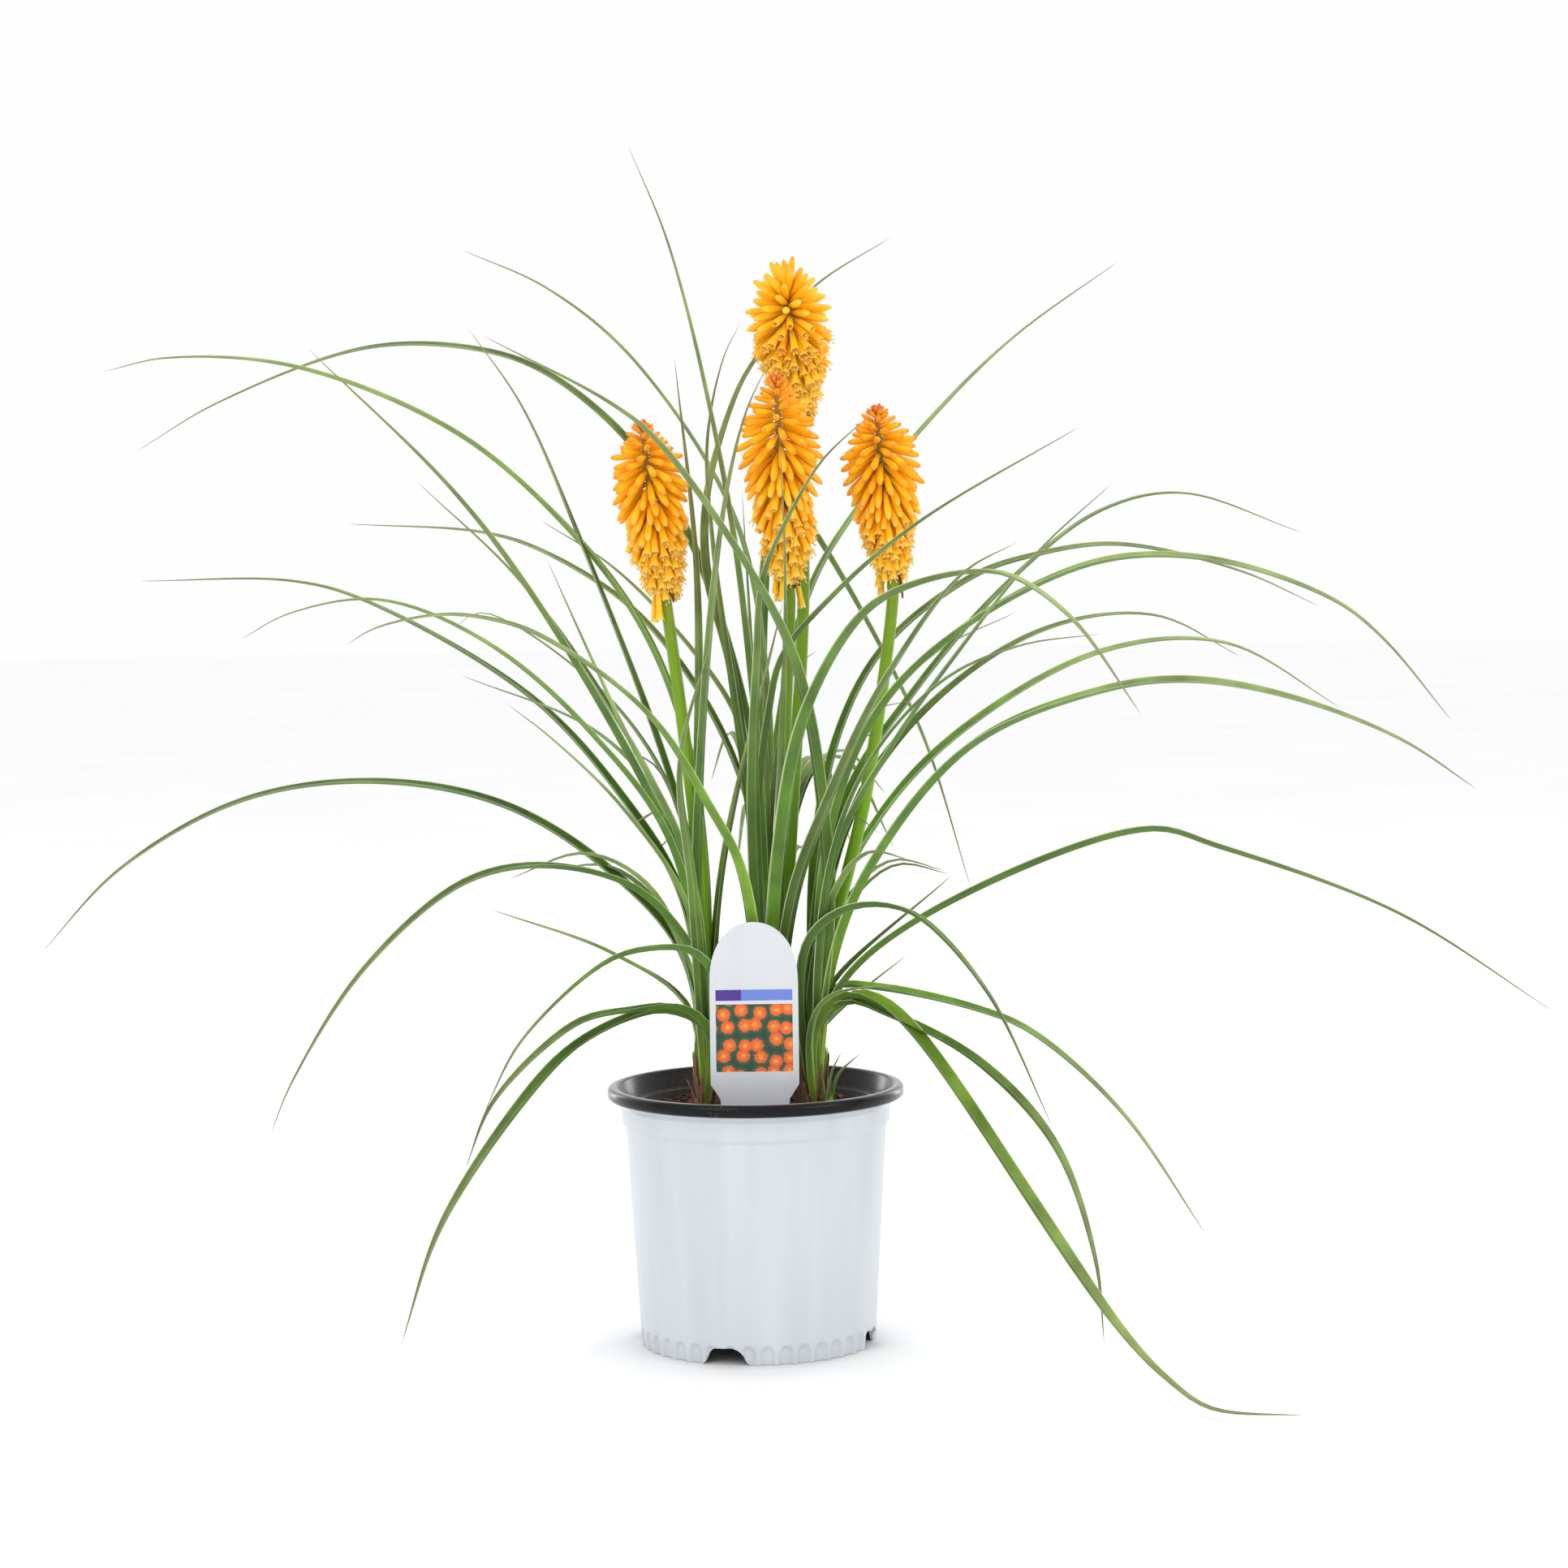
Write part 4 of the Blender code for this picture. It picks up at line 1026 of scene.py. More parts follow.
@dataclass
class NurseryPot(Assembly):
    """Moulded pot in mm: rolled black rim, white wall, fluted foot, drain notches and holes."""

    height: float = 144.5
    rim: float = 82.5
    mouth: float = 76.3
    base: float = 62.0
    foot_top: float = 12.0
    black_above: float = 137.3
    sides: int = 400
    flutes: int = 40
    flute_share: float = 0.66
    flute_depth: float = 1.6
    notch_angles: tuple[float, ...] = (-106, -16, 74, 164)
    notch_reach: tuple[float, float] = (54.0, 72.0)
    drain_circle: float = 46.0
    drain_radius: float = 5.0
    notch: tuple[tuple[float, float], ...] = (
        (13.6, -2), (13.0, 0.3), (11.9, 1.2), (10.9, 2.8), (9.9, 5.4), (8.8, 7.3), (7.2, 8.6),
        (5.0, 9.2), (2.5, 9.4))

    def profile(self) -> Pairs:
        """The wall's outline in (r, z) mm, from under the base round to its inside."""
        top = self.height
        rim = self.rim
        foot = [(65.2 + 0.7 * z / 11.5, z) for z in (0.5, 1.5, 3, 4.5, 6, 7, 8, 9, 10, 11, 12)]
        wall = [(65.9 + 6.5 * k / 8, 12.5 + 109 * k / 8) for k in range(9)]
        collar = [(72.6, 122.2), (73.2, 123.0), (74.0, 123.9), (74.4, 125.0), (74.6, 130.0),
                  (74.7, 132.2), (75.2, 132.8), (75.4, 133.5), (75.2, 134.2), (74.9, 134.8),
                  (75.0, 137.0)]
        lip = [(rim - 2.0, top - 6.9), (rim - 1.0, top - 6.5), (rim - 0.3, top - 5.8),
               (rim, top - 4.8), (rim - 0.1, top - 2.5), (rim - 0.5, top - 1.2),
               (rim - 1.3, top - 0.4), (rim - 2.6, top), (self.mouth + 1.6, top),
               (self.mouth + 0.6, top - 0.3), (self.mouth, top - 1.0)]
        inside = [(73.9, top - 9.4), (73.5, top - 10.2), (71.2, top - 11.1),
                  (70.5, top - 11.9), (66.4, 72.0), (62.6, 12.6), (61.8, 11.2), (60.0, 10.9)]
        return [(0, 9.4), (60.4, 9.4), (61.4, 9.0), (62.3, 0.6), (62.9, 0.0),
                (64.7, 0.0)] + foot + wall + collar + lip + inside + [(0, 10.9)]

    def flute(self, angle: float, z: float) -> float:
        """Depth of the arched flutes in mm at an angle and a height."""
        pitch = TURN / self.flutes
        across = 2 * ((angle / pitch) % 1.0 - 0.5)
        if abs(across) > self.flute_share:
            return 0.0
        bow = math.sqrt(1 - (across / self.flute_share) ** 2)
        top = 6.5 + 4.6 * bow
        fade = min(1.0, max(0.0, (top - z) / 1.6))
        return self.flute_depth * min(1.0, bow * 1.8) * fade

    def build(self) -> None:
        """Spin the wall, press the flutes in, cut the openings and colour the faces."""
        bm = bmesh.new()
        spin(bm, [(r * MM, z * MM) for r, z in self.profile()], self.sides)
        for vert in bm.verts:
            outer = math.hypot(vert.co.x, vert.co.y)
            if outer > 64.0 * MM and vert.co.z < (self.foot_top + 0.2) * MM:
                angle = math.atan2(vert.co.y, vert.co.x)
                scale = 1 - self.flute(angle, vert.co.z / MM) * MM / outer
                vert.co.x *= scale
                vert.co.y *= scale
        made = add_solid("nursery_pot", bm)
        self.cut(made)
        made.data.materials.append(self.palette.white)
        made.data.materials.append(self.palette.black)
        for face in made.data.polygons:
            face.material_index = 1 if self.is_black(face.center, face.normal) else 0
        made.data.shade_smooth()
        made.data.set_sharp_from_angle(angle=math.radians(38))
        seat(made, "pot")

    def is_black(self, spot: Vector, normal: Vector) -> bool:
        """Whether a face belongs to the rim, the inside or the base."""
        radius = math.hypot(spot.x, spot.y)
        facing = normal.x * spot.x + normal.y * spot.y
        inside = facing < 0 and spot.z > self.foot_top * MM or facing < -0.5 * radius
        base = abs(normal.z) > 0.9 and radius < self.base * MM
        return inside or base or spot.z > self.black_above * MM

    def cut(self, made: bpy.types.Object) -> None:
        """Cut the four notches and the four drain holes.

        Args:
            made: the pot.
        """
        tools = []
        near, far = self.notch_reach
        circle = self.drain_circle * MM
        for number, degrees in enumerate(self.notch_angles):
            angle = math.radians(degrees)
            bm = bmesh.new()
            corners = [*self.notch, *((-x, z) for x, z in reversed(self.notch))]
            extrude(bm, corners, near * MM, (far - near) * MM)
            bm.transform(Matrix.Rotation(angle - math.pi / 2, 4, "Z"))
            tools.append(add_solid(f"notch_tool_{number}", bm))
            bm = bmesh.new()
            place = (circle * math.cos(angle), circle * math.sin(angle), 10 * MM)
            radius = self.drain_radius * MM
            bmesh.ops.create_cone(bm, cap_ends=True, segments=32, radius1=radius, radius2=radius,
                                  depth=8 * MM, matrix=Matrix.Translation(place))
            tools.append(add_solid(f"drain_tool_{number}", bm))
        for tool in tools:
            step = made.modifiers.new(tool.name, "BOOLEAN")
            step.operation = "DIFFERENCE"
            step.solver = "EXACT"
            step.object = tool
        graph = bpy.context.evaluated_depsgraph_get()
        shaped = bpy.data.meshes.new_from_object(made.evaluated_get(graph))
        made.modifiers.clear()
        made.data = shaped
        made.data.materials.clear()
        for tool in tools:
            bpy.data.objects.remove(tool, do_unlink=True)


@dataclass
class PottingSoil(Assembly):
    """Root ball with a crumbly top, and the bark chips, grit and fibres that lie on it."""

    rings: int = 46
    sides: int = 150
    chips: int = 620
    fibres: int = 260
    seed: int = 5

    def build(self) -> None:
        """Build the root ball, then what lies on it."""
        self.ball()
        self.litter()

    def top(self, x: float, y: float) -> float:
        """Height of the crumbly top at a place."""
        spot = Vector((x, y, 0))
        crumbs = noise.noise(spot * 260) * 0.9 + noise.noise(spot * 620) * 0.55
        return SOIL_TOP + soil_wave(x, y) + crumbs * MM

    def ball(self) -> None:
        """Spin the root ball and roughen its top."""
        mesh = PieceMesh()
        low = 11.4 * MM
        edge = pot_inside(SOIL_TOP) - 0.45 * MM
        profile = [(0.0, low), (pot_inside(low) - 3 * MM, low), (edge, SOIL_TOP)]
        profile += [(edge * k / self.rings, SOIL_TOP) for k in range(self.rings - 1, -1, -1)]
        spin(mesh.bm, profile, self.sides)
        for vert in mesh.bm.verts:
            if vert.co.z > SOIL_TOP - 1 * MM:
                vert.co.z = self.top(vert.co.x, vert.co.y)
            vert[mesh.growth] = (0.35, 0.5, 0.5, 0.0)
        for face in mesh.bm.faces:
            face.smooth = True
        mesh.settle("soil_surface", [self.palette.soil], "soil", 80)

    def clear(self, x: float, y: float) -> bool:
        """Whether a place on the soil is free of stems and of the label."""
        near = any(math.hypot(x / MM - c.x, y / MM - c.y) < c.radius + 1.5
                   for c in CROWNS.values())
        shoot = math.hypot(x / MM - SHOOT_ROOT[0], y / MM - SHOOT_ROOT[1]) < 5
        label = abs(x) < 20 * MM and abs(y - PlantLabel.y * MM) < 4 * MM
        return not (near or shoot or label)

    def litter(self) -> None:
        """Scatter chips, grit and fibres by a seeded rule."""
        rng = random.Random(self.seed)
        mesh = PieceMesh()
        edge = pot_inside(SOIL_TOP) - 3.5 * MM
        laid = 0
        while laid < self.chips:
            radius = edge * math.sqrt(rng.random())
            angle = rng.uniform(0, TURN)
            x, y = radius * math.cos(angle), radius * math.sin(angle)
            if self.clear(x, y):
                laid += 1
                self.chip(mesh, x, y, laid, rng)
        for _ in range(self.fibres):
            radius = (edge - 7 * MM) * math.sqrt(rng.random())
            angle = rng.uniform(0, TURN)
            x, y = radius * math.cos(angle), radius * math.sin(angle)
            reach = rng.uniform(2.5, 6.0) * MM
            way = rng.uniform(0, TURN)
            ends = [(x + reach * k * math.cos(way + 0.25 * k), y + reach * k * math.sin(way))
                    for k in (-1, -0.33, 0.33, 1)]
            if not all(self.clear(a, b) for a, b in ends):
                continue
            line = [Vector((a, b, self.top(a, b) + rng.uniform(0.3, 1.4) * MM))
                    for a, b in ends]
            thick = rng.uniform(0.16, 0.34) * MM
            mesh.tube(line, [thick * 0.6, thick, thick, thick * 0.5], 4, rng.uniform(0.2, 1.5))
        mesh.settle("bark_litter", [self.palette.bark], None, 30)

    def chip(self, mesh: PieceMesh, x: float, y: float, laid: int, rng: random.Random) -> None:
        """Lay one rough chip, or a paler and larger one among several.

        Args:
            mesh: the litter's mesh.
            x, y: where it lies, in metres.
            laid: its number.
            rng: gives its size, turn and tint.
        """
        size = rng.uniform(0.7, 1.5) if laid % 3 else rng.uniform(1.5, 2.8)
        shape = (size * rng.uniform(1.0, 1.8), size * rng.uniform(0.5, 0.9),
                 size * rng.uniform(0.25, 0.5))
        turn = Matrix.Rotation(rng.uniform(0, 6.3), 4, "Z")
        turn @= Matrix.Rotation(rng.uniform(-0.5, 0.5), 4, "X")
        turn @= Matrix.Rotation(rng.uniform(-0.5, 0.5), 4, "Y")
        place = Matrix.Translation((x, y, self.top(x, y) + shape[2] * 0.45 * MM))
        chip = bmesh.ops.create_icosphere(mesh.bm, subdivisions=1, radius=1.0)["verts"]
        tint = rng.uniform(0.0, 0.8) if laid % 9 else rng.uniform(0.9, 1.6)
        for vert in chip:
            rough = 1 + rng.uniform(-0.28, 0.28)
            spot = Vector((vert.co.x * shape[0], vert.co.y * shape[1],
                           vert.co.z * shape[2])) * rough * MM
            vert.co = place @ (turn @ spot)
            vert[mesh.growth] = (tint, 0.5, 0.5, 0.0)


@dataclass
class PlantLabel(Assembly):
    """Plastic stake in mm: an arched head, a bare white face and a generic printed panel."""

    width: float = 48.5
    shank: float = 36.0
    thickness: float = 0.8
    y: float = -34.0
    top: float = 238.0
    shoulder: float = 203.0
    waist: float = 149.0
    foot: float = 96.0
    lean: float = math.radians(2.0)
    panel: tuple[float, float, float] = (21.0, 156.0, 193.0)      # half width, low, high
    bars: tuple[float, float, float] = (195.0, 201.0, -7.0)       # low, high, where they meet

    def outline(self) -> Pairs:
        """The stake's outline in (x, z) mm."""
        half = self.width / 2
        shank = self.shank / 2
        rise = self.top - self.shoulder
        arch = []
        for step in range(41):
            angle = math.pi * step / 40
            arch.append((half * math.cos(angle),
                         self.shoulder + rise * math.sin(angle) ** 0.8))
        return arch + [(-half, self.waist), (-shank - 1, self.waist - 8), (-shank, 130.0),
                       (-shank * 0.55, self.foot), (shank * 0.55, self.foot), (shank, 130.0),
                       (shank + 1, self.waist - 8), (half, self.waist)]

    def build(self) -> None:
        """Punch the stake out of sheet, round its edges and print its front."""
        mesh = PieceMesh()
        bm = mesh.bm
        extrude(bm, self.outline(), -self.thickness / 2 * MM, self.thickness * MM)
        edges = [e for e in bm.edges if abs(e.verts[0].co.y - e.verts[1].co.y) < 0.1 * MM]
        bmesh.ops.bevel(bm, geom=edges, offset=0.18 * MM, offset_type="OFFSET", segments=2,
                        profile=0.5, affect="EDGES", material=-1)
        half, low, high = self.panel
        bar_low, bar_high, meet = self.bars
        for x in (-half, half, meet):
            self.slice(bm, (x * MM, 0, 0), (1, 0, 0))
        for z in (low, high, bar_low, bar_high):
            self.slice(bm, (0, 0, z * MM), (0, 0, 1))
        for face in bm.faces:
            spot = face.calc_center_median() / MM
            if abs(spot.x) > half or spot.y > self.thickness * -0.49:
                continue
            if low < spot.z < high:
                face.material_index = 1
            elif bar_low < spot.z < bar_high:
                face.material_index = 2 if spot.x > meet else 3
        pivot = Matrix.Translation((0, self.y * MM, SOIL_TOP))
        bm.transform(pivot @ Matrix.Rotation(-self.lean, 4, "X")
                     @ Matrix.Translation((0, 0, -SOIL_TOP)))
        for vert in bm.verts:
            vert[mesh.growth] = (0.5, 0.5, 0.5, 0.0)
        wears = self.palette
        mesh.settle("plant_label", [wears.sheet, wears.blossom, wears.blue, wears.purple],
                    "label", 30)

    def slice(self, bm: bmesh.types.BMesh, spot: tuple[float, float, float],
              way: tuple[float, float, float]) -> None:
        """Cut the faces along one plane, so that a print ends there.

        Args:
            bm: the stake.
            spot: a point of the plane.
            way: the plane's normal.
        """
        everything = bm.verts[:] + bm.edges[:] + bm.faces[:]
        bmesh.ops.bisect_plane(bm, geom=everything, plane_co=spot, plane_no=way,
                               dist=0.001 * MM)


# Leaves and stalks

@dataclass
class CrownFan(Assembly):
    """One fan: its leaves, the sheaths at its foot and the stalks that rise from it."""

    name: str
    spacing: float = 7.0     # mm of blade for each ring of points
    thickness: float = 0.9   # mm
    strips: int = 30
    threads: int = 26

    @property
    def crown(self) -> Crown:
        """Where the fan stands."""
        return CROWNS[self.name]

    def build(self) -> None:
        """Grow the leaves, the foot and the stalks."""
        crown = self.crown
        rolls = random.Random(self.name)
        tints = random.Random(f"{self.name} tints")
        mesh = PieceMesh()
        for leaf in LEAVES[self.name]:
            line = lifted_line(leaf_root(crown, leaf), leaf)
            self.blade(mesh, line, leaf.width, rolls.uniform(-0.7, 0.7), tints)
        for rule in FILLS[self.name]:
            inner = random.Random(rule.seed)
            for _ in range(rule.count):
                root = Vector((crown.x * MM, crown.y * MM, LEAF_ROOT_Z))
                root += Vector((inner.uniform(-2, 2), inner.uniform(-2, 2), 0)) * MM
                line = fill_line(root, rule, inner)
                width = inner.uniform(*rule.width)
                self.blade(mesh, line, width, inner.uniform(-0.7, 0.7), tints)
        mesh.settle(f"{self.name}_leaves", [self.palette.leaf], self.name, 42)
        self.foot(tints)
        self.stalks()

    def blade(self, mesh: PieceMesh, points: Sequence[Vector], width: float, roll: float,
              tints: random.Random) -> None:
        """Grow one keeled strap leaf: a channel above, a keel below, a hair-thin tip.

        Args:
            mesh: the fan's mesh.
            points: the leaf's own points.
            width: greatest width in mm.
            roll: turn about its own line at the tip, in radians.
            tints: gives the leaf's tint and its small unevenness.
        """
        line = even_line(points, self.spacing * MM, 16)
        last = len(line) - 1
        out = line[-1] - line[0]
        azimuth = math.atan2(out.y, out.x)
        across = Vector((-math.sin(azimuth), math.cos(azimuth), 0))
        tint = tints.random()
        phase = tints.uniform(0, 6.3)
        stations = []
        for k, point in enumerate(line):
            share = k / last
            along = heading(line, k)
            side = (across - along * across.dot(along)).normalized()
            wave = 0.12 * math.sin(phase + share * 9) * min(1, share * 4)
            side.rotate(Matrix.Rotation(roll * share + wave, 3, along))
            taper = 0.03 + 0.97 * (1 - share ** 2.7)
            half = width * MM / 2 * taper * (1.42 - 0.44 * share)
            half *= min(1.0, 0.5 + 0.5 * share / 0.2)
            half *= 1 + 0.03 * math.sin(phase * 3 + share * 23)
            thick = self.thickness * MM * (0.3 + 0.7 * taper)
            stations.append((point, side, along.cross(side), half, thick))
        length = line_length(line)

        def across_at(u: float) -> float:
            """Where a share round the blade lies across it, from -1 to 1."""
            step = round(u * 12) % 12
            return -1 + step / 3 if step <= 6 else 1 - (step - 6) / 3

        def place(u: float, v: float) -> Vector:
            """The point for a share round and a share along."""
            k = round(v * last)
            point, side, up, half, thick = stations[k]
            if k in (0, last):
                return point.copy()
            step = round(u * 12) % 12
            t = across_at(u)
            rise = half * math.sin(LEAF_FOLD) * 0.8 * abs(t) ** 1.25
            body = thick * (1 - 0.75 * abs(t) ** 1.5)
            keel = 0.35 * MM * max(0.0, 1 - abs(t) * 3) * min(1.0, half / (2 * MM))
            lift = rise + body * 0.4 if step in (1, 2, 3, 4, 5) else rise - body * 0.6 - keel
            if step in (0, 6):
                lift = rise
            return point + side * (half * math.cos(LEAF_FOLD) * t) + up * lift

        def growth(u: float, v: float) -> Colour:
            """The growth colour for the same shares."""
            below = 1.0 if round(u * 12) % 12 > 6 else 0.0
            return (tint, v, 0.5 + across_at(u) / 2, below)

        mesh.shell(12, last, place,
                   lambda u, v: (across_at(u) * width / 20 + tint * 5, v * length / CM), growth)

    def foot(self, rng: random.Random) -> None:
        """Wrap the fan's foot in ridged leaf bases and torn old sheaths.

        Args:
            rng: seeds the strips.
        """
        crown = self.crown
        low = SOIL_TOP - HOLE_DEPTH + 0.6 * MM
        rows = 26
        mesh = PieceMesh()
        heights = [low + (SOIL_TOP + crown.height * MM - low) * k / rows for k in range(rows + 1)]

        def place(u: float, v: float) -> Vector:
            """The point for a share round and a share along."""
            k = round(v * rows)
            angle = TURN * u
            ridge = 1 + 0.07 * math.cos(7 * angle + 0.4 * k / rows) + 0.03 * math.cos(19 * angle)
            radius = 0.0 if k in (0, rows) else crown.girth(heights[k]) * ridge * 0.97 * MM
            return crown.around(radius, angle, heights[k])

        girth = TURN * crown.radius / 10
        mesh.shell(48, rows, place, lambda u, v: (u * girth, v * crown.height / 10), 0.7)
        for number in range(self.strips):
            self.strip(mesh, number, rng)
        for number in range(self.threads):
            self.thread(mesh, number, rng)
        mesh.settle(f"{self.name}_sheaths", [self.palette.sheath, self.palette.husk], self.name,
                    45)

    def strip(self, mesh: PieceMesh, number: int, rng: random.Random) -> None:
        """Lay one torn strip of old sheath against the foot.

        Args:
            mesh: the foot's mesh.
            number: the strip's number, which gives its side.
            rng: gives its size.
        """
        crown = self.crown
        azimuth = number * GOLDEN_ANGLE + rng.uniform(-0.3, 0.3)
        height = rng.uniform(0.2, 0.8) ** 1.4 * crown.height * MM
        half = rng.uniform(0.7, 2.7) * MM
        flare = rng.uniform(0.1, 1.5) * MM
        tint = rng.uniform(0.1, 1.0)
        rows = 9
        if number == 0 and self.name == "left_crown":     # this one peels away
            azimuth, height, half, flare, tint = 3.3, 18 * MM, 3.0 * MM, 4.5 * MM, 1.0

        def place(u: float, v: float) -> Vector:
            """The point for a share round and a share along."""
            end = round(v * rows) in (0, rows)
            step = round(u * 8) % 8
            t = -1 + step / 2 if step <= 4 else 1 - (step - 4) / 2
            z = SOIL_TOP - 4 * MM + (height + 4 * MM) * v
            thin = 1 - 0.7 * v ** 4 + 0.12 * math.sin(v * 31 + number)
            lift = 0.25 * MM if step in (1, 2, 3) else -0.1 * MM
            if end:
                lift, t = 0.0, 0.0
            base = crown.girth(z) * 1.04 * MM
            radius = base + lift + flare * v ** 3 + 0.3 * MM
            angle = azimuth + t * half * thin / base + 0.1 * math.sin(v * 5 + number)
            return crown.around(radius, angle, z)

        mesh.shell(8, rows, place, lambda u, v: (u * 0.8 + number, v * height / CM), tint, 1)

    def thread(self, mesh: PieceMesh, number: int, rng: random.Random) -> None:
        """Lay one loose fibre up the foot.

        Args:
            mesh: the foot's mesh.
            number: the fibre's number, which gives its side.
            rng: gives its height and its bow.
        """
        crown = self.crown
        azimuth = number * GOLDEN_ANGLE + 1.1
        height = rng.uniform(0.2, 0.75) * crown.height * MM
        lean, bow = rng.uniform(-0.35, 0.35), rng.uniform(0.3, 2.2) * MM
        line = []
        for k in range(7):
            z = SOIL_TOP - 1 * MM + height * k / 6
            radius = crown.girth(z) * 1.06 * MM + bow * (k / 6) ** 2
            line.append(crown.around(radius, azimuth + lean * k / 6, z))
        girth = rng.uniform(0.16, 0.34) * MM
        mesh.tube(line, [girth * (1.1 - 0.8 * k / 6) for k in range(7)], 5, rng.random(), 1)

    def stalks(self) -> None:
        """Grow the flower stalks, each up to the underside of its head."""
        mesh = PieceMesh()
        tint = 0.35 if self.name == "centre_crown" else 0.85
        for head in HEADS.values():
            if head.crown != self.name:
                continue
            line = even_line(stalk_line(head) + [Vector(head.base) * MM], 6 * MM)
            last = len(line) - 1
            radii = [(3.75 - 0.55 * (k / last)) * MM for k in range(len(line))]
            mesh.tube(line, radii, 24, tint, 0, 0.02)
        mesh.settle(f"{self.name}_stalks", [self.palette.stalk], self.name, 60)


def lifted_line(root: Vector, leaf: Leaf) -> list[Vector]:
    """Carry a leaf's front-view line to its real depth along the sight lines.

    Args:
        root: where the leaf starts.
        leaf: the leaf.

    Returns:
        The leaf's points, root included.
    """
    flat = [Vector((root.x, 0.0, root.z))] + [Vector((x * MM, 0.0, z * MM)) for x, z in leaf.line]
    travel = [(flat[1] - flat[0]).length]
    for before, after in zip(flat[1:], flat[2:]):
        travel.append(travel[-1] + (after - before).length)
    points = [root]
    for (x, z), length in zip(leaf.line, travel):
        depth = root.y + leaf.depth * MM * (length / travel[-1]) ** DEPTH_POWER
        lifted = sighted(x, z, depth)
        lifted.z = max(lifted.z, FLOOR_CLEAR)
        points.append(lifted)
    return points


def leaf_root(crown: Crown, leaf: Leaf) -> Vector:
    """Where a leaf starts inside its crown: low leaves outside, towards their own tip."""
    tip_x = leaf.line[-1][0] - crown.x
    highest = max(z for _, z in leaf.line)
    spread = crown.radius * (0.62 - 0.5 * min(1.0, (highest - 180) / 400))
    reach = math.hypot(tip_x, leaf.depth)
    return Vector((crown.x + spread * tip_x / reach, crown.y + spread * leaf.depth / reach,
                   LEAF_ROOT_Z / MM)) * MM


def fill_line(root: Vector, rule: Fill, rng: random.Random) -> list[Vector]:
    """The line of one inner leaf: up from the crown, then out and a little down.

    Args:
        root: where the leaf starts.
        rule: the ranges it is drawn from.
        rng: the rule's own random source.

    Returns:
        The leaf's points.
    """
    azimuth = math.radians(rng.uniform(*rule.azimuth))
    height = rng.uniform(*rule.height) * MM
    reach = rng.uniform(*rule.reach) * MM
    droop = rng.uniform(*rule.droop) * MM
    points = [root]
    for share in (0.25, 0.5, 0.75, 1.0):
        out = reach * share ** 1.7
        up = height * math.sin(math.pi / 2 * share ** 0.8) - droop * share ** 3
        points.append(root + Vector((out * math.cos(azimuth), out * math.sin(azimuth), up)))
    return points


def stalk_line(head: Head) -> list[Vector]:
    """The flower stalk's points from its crown up to just under the head."""
    axis = (Vector(head.tip) - Vector(head.base)).normalized()
    root = Vector((head.root[0], head.root[1], LEAF_ROOT_Z / MM)) * MM
    base = Vector(head.base) * MM - axis * STALK_SEAT
    points = [root]
    for x, z in head.stalk:
        share = (z * MM - root.z) / (base.z - root.z)
        points.append(sighted(x, z, root.y + (base.y - root.y) * share))
    points.append(base)
    return points


@dataclass
class YoungShoot(Assembly):
    """The young shoot beside the right crown: three narrow blades from a small sheath."""

    def build(self) -> None:
        """Grow the sheath and the blades."""
        fan = CrownFan(self.palette, "young_shoot", 2.0, 0.7)
        rng = random.Random("young shoot")
        mesh = PieceMesh()
        x, y = SHOOT_ROOT[0] * MM, SHOOT_ROOT[1] * MM
        heights = (-15, -5, 0, 3, 6, 9)
        line = [Vector((x, y, SOIL_TOP + z * MM)) for z in heights]
        radii = [r * MM for r in (2.2, 2.7, 3.0, 2.7, 2.2, 1.4)]
        mesh.tube(line, radii, 14, 0.9, 1, 0.05)
        for leaf in SHOOT_LEAVES:
            root = Vector((x, y, LEAF_ROOT_Z))
            fan.blade(mesh, lifted_line(root, leaf), leaf.width, 0.3, rng)
        mesh.settle("young_shoot_blades", [self.palette.leaf, self.palette.stalk], "young_shoot",
                    42)


# Flower heads

